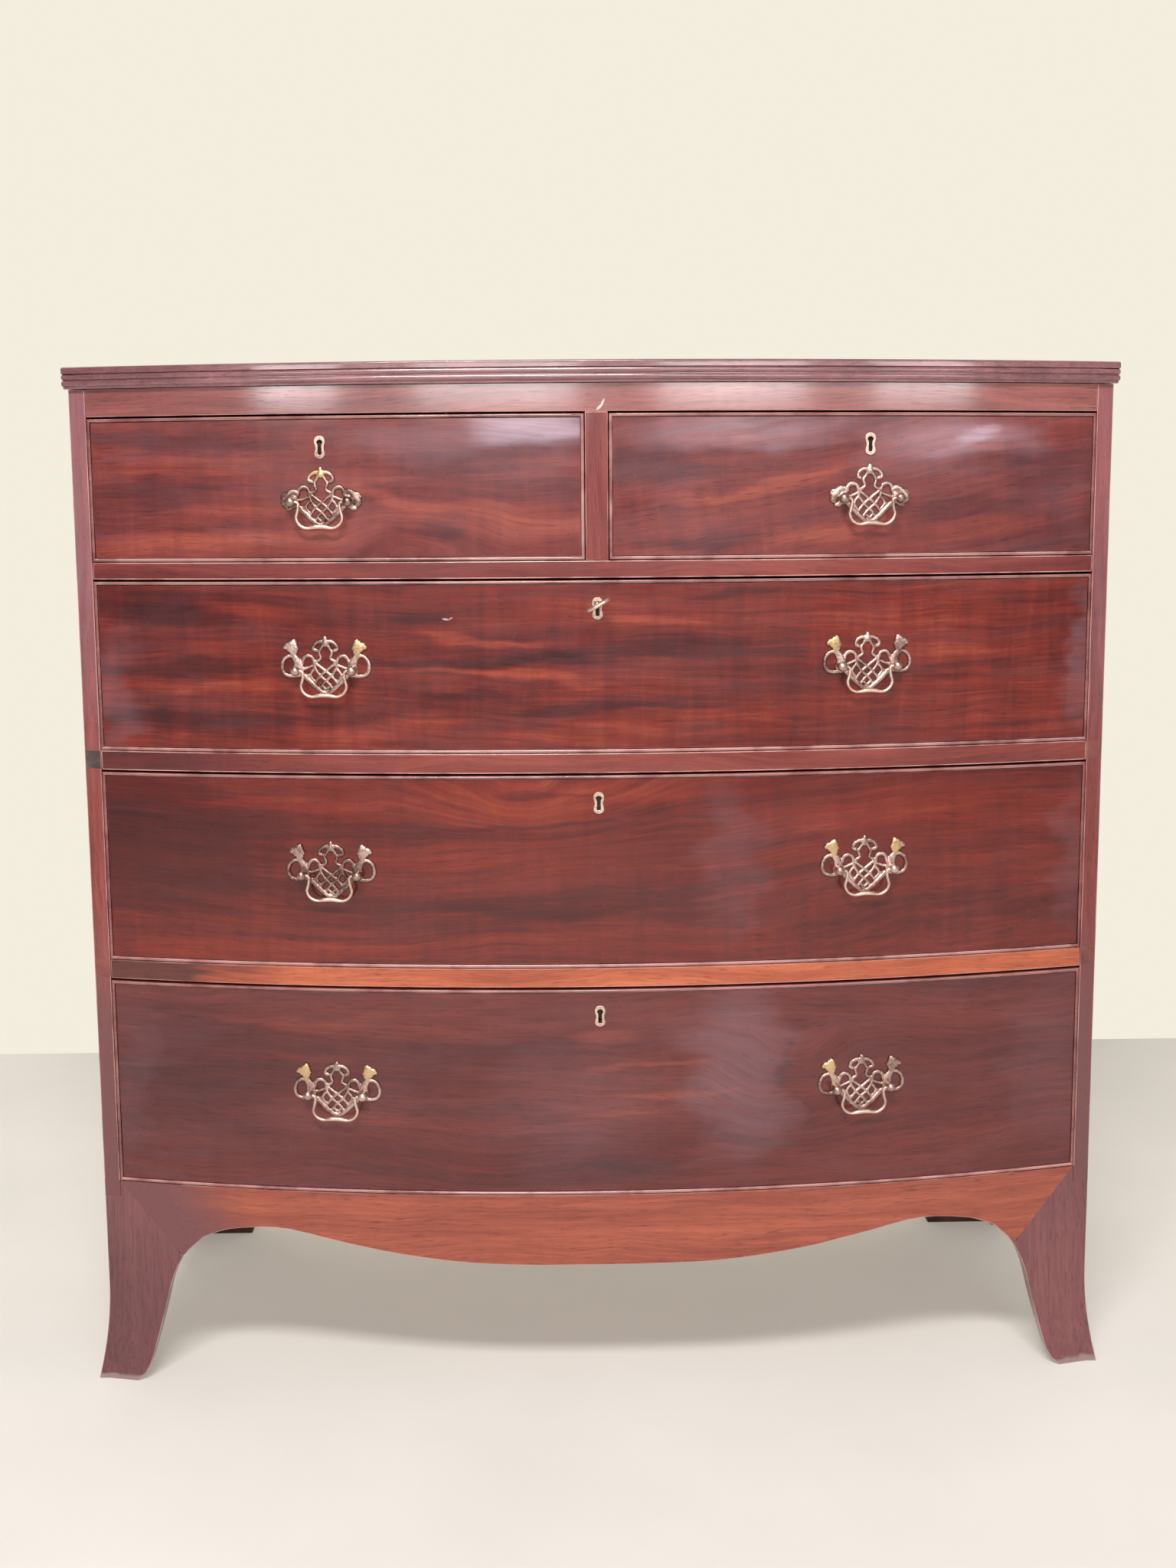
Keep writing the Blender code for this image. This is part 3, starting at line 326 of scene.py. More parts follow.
def mahogany(name, slot, tones, grain="X", shift=(0, 0, 0), lean=0.0, figure=0.6, streak=0.4,
             ripple=0.06, lines=0.22, arches=(), spots=(), bloom_and_sheen=0.0, painted_sheens=(), marks=(),
             roughness=0.24, gloss=0.4, polish=0.07, rubbed_and_lit=0.6, ends=None, solid=False):
    """Old polished mahogany.

    tones run from the darkest to the warmest. arches lift the grain lines over an oval spot, spots are
    warmer or darker places, the pale sheen spots are painted sheen, reflected light streaked along the
    grain, bloom is a pale veil over it all, partly the bloom of old polish and partly painted sheen, and
    marks are small knocks. polish is the roughness of the varnish.
    The figure of a veneer follows the bow, and that of a solid board shows on each of its faces.
    """
    f = Finish(name, slot)
    loose = f.vector("SUBTRACT", f.noise(f.place, (9, 9, 26), 3.0, out="Color"), (0.5, 0.5, 0.5))
    ragged = f.vector("ADD", f.place, f.vector("MULTIPLY", loose, (0.12, 0.0, 0.04)))
    turn = Vector(GRAIN_TURN[grain]) + Vector((0.0, math.radians(lean), 0.0))
    along = f.mapped(f.place, shift, tuple(turn))
    if arches:
        along = f.vector("SUBTRACT", along, f.raised(f.spots(f.place, arches)))
    drift = f.swing(f.noise(along, (2.4, 2.4, 4.5)), 0.055)
    waver = f.swing(f.noise(along, (11.0, 11.0, 16.0)), 0.011)
    along = f.vector("ADD", along, f.raised(f.plus(waver, drift)))

    def grained(long, short, *settings):
        return f.noise(along, (long, short if solid else long, short), *settings)

    tone = 0.5
    for amount, *waves in ((figure, 1.6, 17.0, 3.0, 0.55, 0.5), (streak, 5.0, 80.0, 3.0, 0.62),
                           (lines, 9.0, 260.0, 3.0, 0.66), (ripple, 64.0, 9.0, 3.0, 0.6, 0.6)):
        tone = f.plus(f.swing(grained(*waves), amount), tone)
    tone = f.spots(ragged, spots, tone)
    colour = f.ramp(tone, list(zip(TONE_STOPS, TONES[tones])))
    fibre = grained(20.0, 600.0, 2.0, 0.6)
    colour = f.blend(f.between(fibre, 0.35, 0.7, 0.0, 0.22), colour, paint(44, 10, 8), "MULTIPLY")
    pores = f.between(grained(60.0, 900.0, 1.0), 0.60, 0.72)
    colour = f.blend(f.times(pores, 0.4), colour, paint(30, 8, 8))
    if ends:
        colour = ends(f, colour)
    # A pale veil over it all: partly the bloom of old polish, partly painted sheen.
    if bloom_and_sheen:
        breath = f.noise(along, (8.0, 8.0, 36.0), 3.0, 0.6, 0.6)
        colour = f.blend(f.between(breath, 0.42, 0.68, 0.0, bloom_and_sheen), colour, POLISH_BLOOM_AND_SHEEN)
    # Painted sheen: pale spots streaked along the grain stand for light reflected in the polish.
    if painted_sheens:
        sheen_streaks = f.between(grained(6.0, 120.0, 3.0, 0.7), 0.35, 0.65, 0.7, 1.05)
        colour = f.blend(f.times(f.spots(ragged, painted_sheens), sheen_streaks), colour, POLISH_BLOOM_AND_SHEEN)
    if marks:
        colour = f.blend(f.spots(f.place, marks), colour, paint(240, 200, 198))
    # The rounded edges are painted pale: wear, and painted highlight where the arris catches the light.
    patchy = f.between(f.noise(f.place, (30, 30, 30), 3.0), 0.3, 0.6, 0.25 * rubbed_and_lit, rubbed_and_lit)
    colour = f.blend(f.times(f.worn_and_lit(), patchy), colour, paint(214, 164, 156))
    clouds = f.noise(f.place, (7, 7, 9), 4.0, 0.6)
    dull = f.between(clouds, 0.3, 0.7, roughness - 0.04, roughness + 0.10)
    relief = f.times(fibre, 0.6, f.times(pores, -0.8))
    varnish = {"Specular IOR Level": 0.85 * gloss, "Coat Weight": gloss, "Coat Roughness": polish}
    return f.surface(colour, dull, relief, 0.3, 0.00015, **varnish)


def apron_fade(f, colour):
    """The left end of the apron darkens towards the foot's colour."""
    slant = f.times(f.along("Z"), -0.82, f.times(f.along("X"), -1.0))
    soft = f.times(f.noise(f.place, (30, 30, 60), 3.0), 0.02, slant)
    return f.blend(f.between(soft, 0.195, 0.305), colour, TONES["foot"][1])


def stile_fade(f, colour):
    """The stiles darken downwards to the foot's colour."""
    return f.blend(f.between(f.along("Z"), 0.52, 0.36, 0.0, 0.9), colour, paint(100, 62, 63))


def scuffed_toe(f, colour):
    """The toes of the feet are scuffed grey."""
    ragged = f.times(f.noise(f.place, (60, 60, 60), 4.0), 0.010, f.along("Z"))
    return f.blend(f.between(ragged, 0.0125, 0.0085, 0.0, 0.75), colour, paint(146, 126, 122))


def bare_wood(name, slot, pale, mid, dark, grain="X", board=0.0):
    """Unpolished wood. With a board width, its pattern changes from each board to the next along X."""
    f = Finish(name, slot)
    pale, mid, dark = paints(pale, mid, dark)
    along = f.mapped(f.place, turn=GRAIN_TURN[grain])
    lift = 0.0
    if board:
        count = f.maths("FLOOR", f.times(f.along("X"), 1 / board))
        own = f.raised(count, count)
        along = f.vector("ADD", along, own)
        lift = f.swing(f.noise(own, (0.7, 0.7, 0.7)), 0.7)
    broad = f.noise(along, (1.8, 22.0, 26.0), 3.0, 0.55, 0.6)
    lines = f.noise(along, (5.0, 160.0, 190.0), 3.0, 0.6)
    tone = f.times(lines, 0.35, f.times(broad, 0.65, lift))
    colour = f.ramp(tone, [(0.34, dark), (0.52, mid), (0.66, pale)])
    grime = f.between(f.noise(f.place, (5, 5, 5), 4.0, 0.65), 0.45, 0.75, 0.0, 0.45)
    colour = f.blend(grime, colour, dark)
    colour = f.blend(f.times(f.worn_and_lit(), 0.4), colour, pale)
    return f.surface(colour, f.between(lines, 0.3, 0.7, 0.55, 0.78), lines, 0.5, 0.0004)


def metal(name, slot, bright, body, dark, shine, dark_spots=(), gold_spots=()):
    """Old metal: bright where hands have polished it, dark where tarnished, and golden where it was
    cleaned.
    """
    f = Finish(name, slot)
    bright, body, dark = paints(bright, body, dark)
    broad = f.noise(f.place, (34.0,) * 3, 3.0, 0.6)
    fine = f.noise(f.place, (420.0,) * 3, 3.0, 0.6)
    tone = f.spots(f.place, dark_spots, f.times(fine, 0.35, f.times(broad, 0.75)))
    colour = f.ramp(tone, [(0.34, dark), (0.50, body), (0.66, bright)])
    if gold_spots:
        colour = f.blend(f.spots(f.place, gold_spots), colour, paint(228, 192, 138))
    colour = f.blend(f.times(f.worn_and_lit(), 0.7), colour, bright)
    rough = f.between(fine, 0.3, 0.7, shine, shine + 0.22)
    return f.surface(colour, rough, fine, 0.3, 0.0002, Metallic=1.0)


# The pale sheen spots in each figure are painted reflections of light.
FIGURES = {
    "top_left_drawer": dict(
        tones="row_one", shift=(1.3, 0, 4.1), figure=0.6, ripple=0.24, bloom_and_sheen=0.03,
        arches=((-0.17, 0.886, 0.11, 0.05, 0, 0.022),),
        spots=((-0.43, 0.972, 0.16, 0.016, -3, -0.16), (-0.40, 0.945, 0.14, 0.014, 3, 0.10),
               (-0.44, 0.918, 0.10, 0.020, 8, -0.16), (-0.33, 0.905, 0.16, 0.016, 4, 0.12),
               (-0.36, 0.872, 0.16, 0.014, 0, 0.10), (-0.17, 0.906, 0.13, 0.010, -6, 0.16),
               (-0.165, 0.880, 0.045, 0.012, 0, -0.16), (-0.06, 0.885, 0.09, 0.022, 0, 0.12),
               (-0.10, 0.952, 0.13, 0.024, 4, -0.10)),
        painted_sheens=((-0.055, 0.978, 0.10, 0.026, 0, 0.60), (-0.16, 0.968, 0.12, 0.026, 0, 0.10),
               (-0.06, 0.945, 0.07, 0.030, 0, 0.05))),
    "top_right_drawer": dict(
        tones="row_one", shift=(5.2, 0, 2.6), lean=7.0, figure=0.6, ripple=0.24, bloom_and_sheen=0.03,
        spots=((0.06, 0.945, 0.09, 0.030, 6, -0.14), (0.09, 0.965, 0.11, 0.006, 3, 0.12),
               (0.17, 0.921, 0.14, 0.009, 11, 0.18), (0.10, 0.912, 0.08, 0.006, 8, 0.14),
               (0.20, 0.873, 0.07, 0.013, 4, 0.18), (0.09, 0.872, 0.09, 0.014, 6, -0.14),
               (0.33, 0.922, 0.10, 0.014, 6, 0.08), (0.36, 0.895, 0.12, 0.014, 4, -0.12),
               (0.45, 0.92, 0.07, 0.06, 0, -0.06)),
        painted_sheens=((0.15, 0.972, 0.15, 0.022, 0, 0.24), (0.36, 0.966, 0.11, 0.026, -4, 0.28),
               (0.374, 0.968, 0.026, 0.012, 0, 0.40), (0.06, 0.930, 0.07, 0.030, 0, 0.04),
               (0.32, 0.942, 0.07, 0.026, 0, 0.08), (0.48, 0.92, 0.04, 0.07, 0, 0.03))),
    "upper_drawer": dict(
        tones="row_two", shift=(2.1, 0, 7.7), lean=-1.0, figure=0.5, ripple=0.26, lines=0.26,
        bloom_and_sheen=0.02,
        spots=((-0.44, 0.800, 0.10, 0.018, -3, -0.12), (-0.36, 0.808, 0.09, 0.012, -5, 0.10),
               (-0.42, 0.750, 0.16, 0.012, 0, -0.14), (-0.36, 0.728, 0.18, 0.009, 0, 0.13),
               (-0.42, 0.694, 0.14, 0.020, 0, -0.16), (-0.22, 0.690, 0.13, 0.018, 0, 0.16),
               (-0.17, 0.792, 0.06, 0.009, -6, -0.12), (-0.12, 0.774, 0.08, 0.006, -6, 0.20),
               (-0.10, 0.754, 0.19, 0.010, 0, -0.18), (-0.08, 0.738, 0.15, 0.006, -4, 0.16),
               (-0.12, 0.719, 0.08, 0.007, 0, -0.14), (-0.02, 0.708, 0.10, 0.010, 4, -0.12),
               (0.00, 0.683, 0.14, 0.014, 3, 0.10), (0.06, 0.792, 0.09, 0.009, 5, 0.16),
               (0.10, 0.768, 0.10, 0.010, 4, -0.10), (0.12, 0.700, 0.15, 0.010, -2, 0.10),
               (0.14, 0.822, 0.08, 0.007, 2, -0.12), (0.31, 0.770, 0.18, 0.050, 4, 0.08)),
        painted_sheens=((0.485, 0.75, 0.03, 0.10, 0, 0.10), (-0.485, 0.72, 0.04, 0.09, 0, 0.08)),
        marks=((-0.147, 0.7952, 0.0046, 0.0014, -8, 0.5), (-0.142, 0.7960, 0.0032, 0.0010, 35, 0.4))),
    "middle_drawer": dict(
        tones="row_three", shift=(6.4, 0, 1.2), figure=0.5, streak=0.34, ripple=0.16, bloom_and_sheen=0.01,
        arches=((-0.06, 0.640, 0.16, 0.085, 0, -0.045), (-0.075, 0.630, 0.06, 0.045, 0, -0.024),
                (0.42, 0.56, 0.50, 0.12, 0, 0.03)),
        spots=((-0.06, 0.616, 0.17, 0.034, 0, 0.09), (-0.45, 0.560, 0.15, 0.12, 0, -0.10),
               (-0.07, 0.506, 0.19, 0.010, -2, -0.14), (-0.30, 0.612, 0.20, 0.010, 2, 0.08),
               (0.26, 0.602, 0.24, 0.016, 8, 0.08), (0.30, 0.500, 0.25, 0.028, 0, -0.06),
               (0.03, 0.608, 0.05, 0.018, 0, -0.12), (-0.06, 0.590, 0.13, 0.005, 0, -0.14),
               (-0.05, 0.621, 0.08, 0.005, 0, -0.12)),
        painted_sheens=((0.13, 0.56, 0.04, 0.12, 0, 0.05), (0.485, 0.55, 0.03, 0.11, 0, 0.06))),
    "lower_drawer": dict(
        tones="row_four", shift=(3.3, 0, 5.9), lean=-0.5, figure=0.45, streak=0.30, ripple=0.08,
        lines=0.18, bloom_and_sheen=0.02,
        arches=((0.19, 0.315, 0.10, 0.09, 0, -0.03),),
        spots=((0.01, 0.378, 0.06, 0.016, 0, 0.16), (-0.30, 0.39, 0.24, 0.010, -2, 0.10),
               (-0.10, 0.30, 0.20, 0.010, 0, -0.08), (0.03, 0.243, 0.12, 0.010, 3, -0.14),
               (-0.42, 0.33, 0.16, 0.10, 0, -0.12), (0.04, 0.348, 0.09, 0.004, 3, 0.2),
               (0.07, 0.318, 0.10, 0.005, 2, 0.2), (0.02, 0.300, 0.07, 0.004, 0, 0.14),
               (0.19, 0.33, 0.010, 0.07, 14, -0.08)),
        painted_sheens=((0.14, 0.34, 0.07, 0.13, 8, 0.12), (-0.02, 0.30, 0.12, 0.10, 0, 0.05),
               (-0.485, 0.32, 0.04, 0.12, 0, 0.04), (0.47, 0.32, 0.06, 0.13, 0, 0.04))),
}
DRAWER_WOODS = {
    name: mahogany(name + "_mahogany", "drawer_mahogany", **look)
    for name, look in FIGURES.items()
}
BEAD_WOODS = {
    name: mahogany(name + "_cockbead", "drawer_mahogany", "bead", shift=(i * 1.7, 0, i * 0.9), ripple=0.16,
                   roughness=0.2)
    for i, name in enumerate(DRAWERS)
}
TOP_WOOD = mahogany("top_mahogany", "top_mahogany", "top", shift=(0.4, 0, 0.7), lean=0.6, ripple=0.16,
                    roughness=0.22, gloss=0.8, solid=True)
CASE_WOOD = mahogany("case_mahogany", "case_mahogany", "case", shift=(3.1, 0, 0.2), figure=0.7, ripple=0.10,
                     spots=((-0.46, 0.654, 0.16, 0.03, 0, -0.18), (0.02, 0.654, 0.34, 0.03, 0, 0.10)),
                     gloss=0.55, rubbed_and_lit=0.95)
FRIEZE_WOOD = mahogany("frieze_mahogany", "case_mahogany", "frieze", shift=(1.9, 0, 0.6), ripple=0.08,
                       spots=((0.47, 1.005, 0.12, 0.05, 0, 0.12),),
                       marks=((0.0030, 0.9957, 0.0052, 0.0017, 44, 0.8),
                              (0.0060, 1.0000, 0.0056, 0.0015, 64, 0.7)),
                       roughness=0.16, gloss=1.0, polish=0.11)
# The pale sheen spots high on the stiles are painted reflections of light.
STILE_WOOD = mahogany("stile_mahogany", "case_mahogany", "stile", "Z", shift=(0.9, 0, 2.4),
                      painted_sheens=((-0.505, 0.92, 0.09, 0.36, 0, 0.20), (0.505, 0.92, 0.09, 0.38, 0, 0.13)),
                      ends=stile_fade, solid=True)
LOW_RAIL_WOOD = mahogany("lower_rail_mahogany", "case_mahogany", "rail_lower", shift=(1.6, 0, 3.7),
                         spots=((-0.48, 0.439, 0.16, 0.05, 0, -0.46), (0.52, 0.439, 0.04, 0.05, 0, -0.2)))
APRON_WOOD = mahogany("apron_mahogany", "apron_mahogany", "apron", shift=(7.7, 0, 6.1), ends=apron_fade)
FOOT_LOOKS = dict(tones="foot", shift=(4.6, 0, 8.3), figure=0.35, streak=0.15, lines=0.12, ripple=0.04,
                  roughness=0.30, solid=True)
FOOT_SPOTS = ((-0.47, 0.06, 0.15, 0.14, 0, -0.12), (0.47, 0.08, 0.15, 0.14, 0, 0.06))
FOOT_WOOD = mahogany("foot_mahogany", "foot_mahogany", grain="Z", ends=scuffed_toe, spots=FOOT_SPOTS,
                     **FOOT_LOOKS)
SIDE_APRON_WOOD = mahogany("side_apron_mahogany", "apron_mahogany", grain="Y", **FOOT_LOOKS)
# Painted shade: the backs of the rear feet and the glue blocks under the chest are dark brown for the shade
# they stand in.
SHADED_UNDER_WOOD = bare_wood("shaded_underside", "foot_mahogany", (96, 66, 48), (70, 47, 35), (42, 28, 22), "Z")
TENON_WOOD = bare_wood("tenon_end_grain", "case_mahogany", (142, 80, 72), (120, 64, 58), (88, 50, 46), "Y")
DARK_TENON = bare_wood("dark_end_grain", "case_mahogany", (96, 78, 70), (66, 52, 46), (40, 32, 30), "Y")
OAK = bare_wood("drawer_oak", "drawer_oak", (196, 164, 122), (168, 132, 92), (112, 82, 54), "Y")
OAK_END = bare_wood("oak_end_grain", "drawer_oak", (150, 116, 78), (118, 86, 56), (82, 58, 38), "Z")
PINE = bare_wood("old_pine", "pine", (204, 166, 116), (172, 128, 80), (108, 74, 46))
BACK_PINE = bare_wood("back_pine", "pine", (170, 130, 88), (132, 95, 62), (82, 58, 40), "Z", BACK_BOARD_W)
GOLDEN_HEADS = ((-0.297, 0.342), (-0.233, 0.342), (0.233, 0.342), (-0.232, 0.769), (0.233, 0.769),
                (0.233, 0.567), (0.297, 0.567), (-0.268, 0.938))
BRASS = metal("aged_brass", "aged_brass", (214, 186, 175), (168, 138, 128), (92, 68, 62), 0.24,
              dark_spots=((-0.265, 0.54, 0.07, 0.06, 0, -0.08), (-0.265, 0.91, 0.07, 0.06, 0, -0.08)),
              gold_spots=[(x, z, 0.014, 0.014, 0, 0.7) for x, z in GOLDEN_HEADS])
RUBBED_BRASS = metal("rubbed_brass", "aged_brass", (228, 202, 186), (208, 176, 160), (140, 108, 95), 0.3)
STEEL = metal("lock_steel", "lock_steel", (168, 160, 150), (118, 108, 100), (66, 48, 38), 0.35)
IRON = metal("nail_iron", "pine", (110, 100, 92), (70, 58, 52), (48, 30, 22), 0.5)


def arc_y(x, half=HALF_W, forward=0.0):
    """Y of the bowed front at x, on an arc through corners that stand forward of the case's."""
    rise = BOW_RADIUS - math.sqrt(BOW_RADIUS ** 2 - half ** 2)
    return CORNER_Y - forward - rise + BOW_RADIUS - math.sqrt(BOW_RADIUS ** 2 - x ** 2)


def smooth_at(points, where):
    """Second value of a smooth curve through points at a place along their first value."""
    where = min(max(where, points[0][0]), points[-1][0])
    i = max(k for k in range(len(points) - 1) if points[k][0] <= where)
    (a, va), (b, vb) = points[i], points[i + 1]

    def slope(k):
        low, high = max(k - 1, 0), min(k + 1, len(points) - 1)
        return (points[high][1] - points[low][1]) / (points[high][0] - points[low][0])

    span, t = b - a, (where - a) / (b - a)
    return ((2 * t ** 3 - 3 * t ** 2 + 1) * va + (t ** 3 - 2 * t ** 2 + t) * slope(i) * span
            + (3 * t ** 2 - 2 * t ** 3) * vb + (t ** 3 - t ** 2) * slope(i + 1) * span)


def oval_points(wide, high, degrees):
    """Points round an oval of these half sizes, at these angles."""
    angles = [math.radians(d) for d in degrees]
    return [(wide * math.cos(a), high * math.sin(a)) for a in angles]


def fresh():
    """An empty bmesh that can mark its edges for the pale colour of wear and painted highlight."""
    bm = bmesh.new()
    bm.loops.layers.float.new("wear_and_highlight")
    return bm


def block(one, other, bm=None):
    """A plain block between two opposite corners, to be shaped."""
    bm = bm or fresh()
    low, high = Vector([*map(min, one, other)]), Vector([*map(max, one, other)])
    stretch = Matrix.Diagonal((*(high - low), 1.0))
    bmesh.ops.create_cube(bm, size=1.0, matrix=Matrix.Translation((high + low) / 2) @ stretch)
    return bm


def slice_at(bm, axis, places):
    """Cuts across a shape, so that it can bend there."""
    for place in places:
        point, normal = Vector(), Vector()
        point[axis], normal[axis] = place, 1.0
        bmesh.ops.bisect_plane(bm, geom=bm.verts[:] + bm.edges[:] + bm.faces[:], dist=1e-7,
                               plane_co=point, plane_no=normal)


def shaped(one, other, cuts, move):
    """A block that is cut across its axes at some places, with each of its points then moved."""
    bm = block(one, other)
    for axis, places in cuts.items():
        slice_at(bm, axis, places)
    for v in bm.verts:
        v.co = move(*v.co)
    return bm


def paint_wear_and_highlight(bm, faces, amount):
    """Sets the mark for wear and painted highlight at each corner of these faces, from the face, the corner
    and its mark so far.
    """
    wear_and_highlight = bm.loops.layers.float["wear_and_highlight"]
    for face in faces:
        for loop in face.loops:
            loop[wear_and_highlight] = amount(face, loop.vert, loop[wear_and_highlight])


def soften(bm, width, segments=2, only=None):
    """Rounds the sharp edges, and marks them for the pale colour of wear and painted highlight."""
    bmesh.ops.recalc_face_normals(bm, faces=bm.faces)
    bm.normal_update()
    sharp = [e for e in bm.edges if e.is_manifold and e.calc_face_angle() > math.radians(35)]
    if only:
        sharp = [e for e in sharp if only(e)]
    made = bmesh.ops.bevel(bm, geom=sharp, offset=width, offset_type="OFFSET", affect="EDGES",
                           segments=segments, profile=0.5, material=-1, clamp_overlap=True)
    paint_wear_and_highlight(bm, made["faces"], lambda face, vert, wear_and_highlight: 1.0)


def thicken(bm, axis, amount):
    """Draws all faces out along an axis, and leaves the first ones behind as the other skin."""
    made = bmesh.ops.extrude_face_region(bm, geom=bm.faces[:])["geom"]
    for v in (g for g in made if isinstance(g, bmesh.types.BMVert)):
        v.co[axis] += amount
    bmesh.ops.recalc_face_normals(bm, faces=bm.faces)


def dome(bm, at, radius, flat=(1, 1, 1), around=10, rings=6):
    """A ball, or a flattened one such as the head of a nail."""
    bmesh.ops.create_uvsphere(bm, u_segments=around, v_segments=rings, radius=radius,
                              matrix=Matrix.Translation(at) @ Matrix.Diagonal((*flat, 1)))


def turned(bm, profile, steps, *stuck_in):
    """A turned shape round Z, from radius and height along its outline. Blocks may be stuck in it."""
    verts = [bm.verts.new((radius, 0.0, z)) for radius, z in profile]
    edges = [bm.edges.new(pair) for pair in zip(verts, verts[1:])]
    bmesh.ops.spin(bm, geom=verts + edges, cent=(0, 0, 0), axis=(0, 0, 1), dvec=(0, 0, 0),
                   angle=2 * math.pi, steps=steps, use_merge=True, use_duplicate=False)
    for low, high in stuck_in:
        block(low, high, bm)
    bmesh.ops.remove_doubles(bm, verts=bm.verts, dist=0.01)
    return bm


def bend(bm, straight_back=None):
    """Bends a piece whose front is at the case's corners to the bow. Its back may stay straight."""
    for v in bm.verts:
        share = 1.0
        if straight_back is not None:
            share = min(max((straight_back - v.co.y) / (straight_back - CORNER_Y), 0.0), 1.0)
        v.co.y += share * (arc_y(v.co.x) - CORNER_Y)


def fit_end_to_bow(bm, behind=0.0):
    """Takes the front end of a board to the bow, or to a line behind it."""
    for v in bm.verts:
        if v.co.y < CORNER_Y + MM:
            v.co.y = arc_y(v.co.x) + behind


def as_object(name, bm):
    """An object for a bmesh, which is used up."""
    mesh = bpy.data.meshes.new(name)
    bm.to_mesh(mesh)
    bm.free()
    obj = bpy.data.objects.new(name, mesh)
    bpy.context.scene.collection.objects.link(obj)
    return obj


def closed_object(name, bm):
    """An object for a closed bmesh, with its faces turned outwards."""
    bmesh.ops.recalc_face_normals(bm, faces=bm.faces)
    return as_object(name, bm)


def worked_out(obj):
    """The bmesh of an object with its modifiers applied. The object is removed."""
    bpy.context.view_layer.update()
    mesh = bpy.data.meshes.new_from_object(obj.evaluated_get(bpy.context.evaluated_depsgraph_get()))
    bm = bmesh.new()
    bm.from_mesh(mesh)
    bpy.data.objects.remove(obj, do_unlink=True)
    return bm


def carve(bm, *cutters):
    """The shape with the cutters taken out of it."""
    obj = closed_object("being_carved", bm)
    tools = [closed_object("cutter", cutter) for cutter in cutters]
    for tool in tools:
        cut = obj.modifiers.new("cut", "BOOLEAN")
        cut.operation = "DIFFERENCE"
        cut.object = tool
    carved = worked_out(obj)
    for tool in tools:
        bpy.data.objects.remove(tool, do_unlink=True)
    return carved


def piece(name, bm, material, *stands_for, body="carcase", smooth=50):
    """Finishes a piece: its mesh, its material, the nodes it stands for and the body it rides on."""
    obj = closed_object(name, bm)
    obj.data.materials.append(material)
    obj.data.shade_smooth()
    obj.data.set_sharp_from_angle(angle=math.radians(smooth))
    even = obj.modifiers.new("even_normals", "WEIGHTED_NORMAL")
    even.keep_sharp = True
    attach(obj, body)
    if stands_for:
        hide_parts(*stands_for)


def round_bar(centres, radii, sides=12, closed=False, bm=None):
    """A round bar along points in a plane across Z, as thick as radii says at each point."""
    bm = bm or fresh()
    count = len(centres)
    stations = []
    for i, centre in enumerate(centres):
        before = centres[(i - 1) % count] if closed or i else centre
        after = centres[(i + 1) % count] if closed or i < count - 1 else centre
        tangent = (Vector(after) - Vector(before)).normalized()
        sideways = Vector((0, 0, 1)).cross(tangent)
        axes = Matrix((sideways, (0, 0, 1), tangent)).transposed().to_4x4()
        stations.append(Matrix.Translation(centre) @ axes @ Matrix.Diagonal((radii[i],) * 3 + (1,)))
    start = bmesh.ops.create_circle(bm, segments=sides, radius=1.0, matrix=stations[0])["verts"]
    first = edges = list({e for v in start for e in v.link_edges})
    for before, after in zip(stations, stations[1:]):
        made = bmesh.ops.extrude_edge_only(bm, edges=edges)["geom"]
        edges = [g for g in made if isinstance(g, bmesh.types.BMEdge)]
        verts = [g for g in made if isinstance(g, bmesh.types.BMVert)]
        bmesh.ops.transform(bm, matrix=after @ before.inverted(), verts=verts)
    if closed:
        bmesh.ops.bridge_loops(bm, edges=first + edges)
    else:
        bmesh.ops.holes_fill(bm, edges=first + edges)
    return bm


def through(points, count, closed=False):
    """A smooth line through points, as evenly spread points."""
    points = [Vector((*p, 0.0)[:3]) for p in points]
    if closed:
        points = [points[-1], *points, points[0], points[1]]
    else:
        points = [2 * points[0] - points[1], *points, 2 * points[-1] - points[-2]]
    fine = []
    for a, b, c, d in zip(points, points[1:], points[2:], points[3:]):
        for k in range(12):
            t = k / 12
            fine.append(0.5 * ((2 * b) + (c - a) * t + (2 * a - 5 * b + 4 * c - d) * t * t
                               + (3 * b - a - 3 * c + d) * t ** 3))
    fine.append(points[-2])
    lengths = [0.0]
    for a, b in zip(fine, fine[1:]):
        lengths.append(lengths[-1] + (b - a).length)
    steps = count if closed else count - 1
    spread = []
    for k in range(count):
        want = lengths[-1] * k / steps
        i = max(j for j in range(len(fine) - 1) if lengths[j] <= want + 1e-9)
        t = (want - lengths[i]) / max(lengths[i + 1] - lengths[i], 1e-9)
        spread.append(fine[i].lerp(fine[i + 1], min(t, 1.0)))
    return spread


def values_along(values, count):
    """A list of values stretched to a longer count."""
    stretched = []
    for k in range(count):
        at = k / (count - 1) * (len(values) - 1)
        i = min(int(at), len(values) - 2) if len(values) > 1 else 0
        last = values[min(i + 1, len(values) - 1)]
        stretched.append(values[i] + (last - values[i]) * (at - i))
    return stretched


def mirrored(half):
    """A whole outline from its right half, which runs from the top down."""
    return [*half, *((-x, y) for x, y in reversed(half) if x > 0)]


def fitting_place(x, z, out=0.0, tilt=0.0):
    """Where a fitting drawn in mm goes on the bowed front: its X along the wood, its Y up, its Z out."""
    lean = math.asin(x / BOW_RADIUS)
    point = Vector((x, arc_y(x), z)) + Vector((math.sin(lean), -math.cos(lean), 0.0)) * out
    turn = Matrix.Rotation(lean, 4, "Z") @ UPRIGHT
    return Matrix.Translation(point) @ turn @ Matrix.Rotation(tilt, 4, "Z") @ Matrix.Scale(MM, 4)


def placed(bm, matrix):
    """A copy of a shape at a place."""
    copy = bm.copy()
    bmesh.ops.transform(copy, matrix=matrix, verts=copy.verts)
    return copy


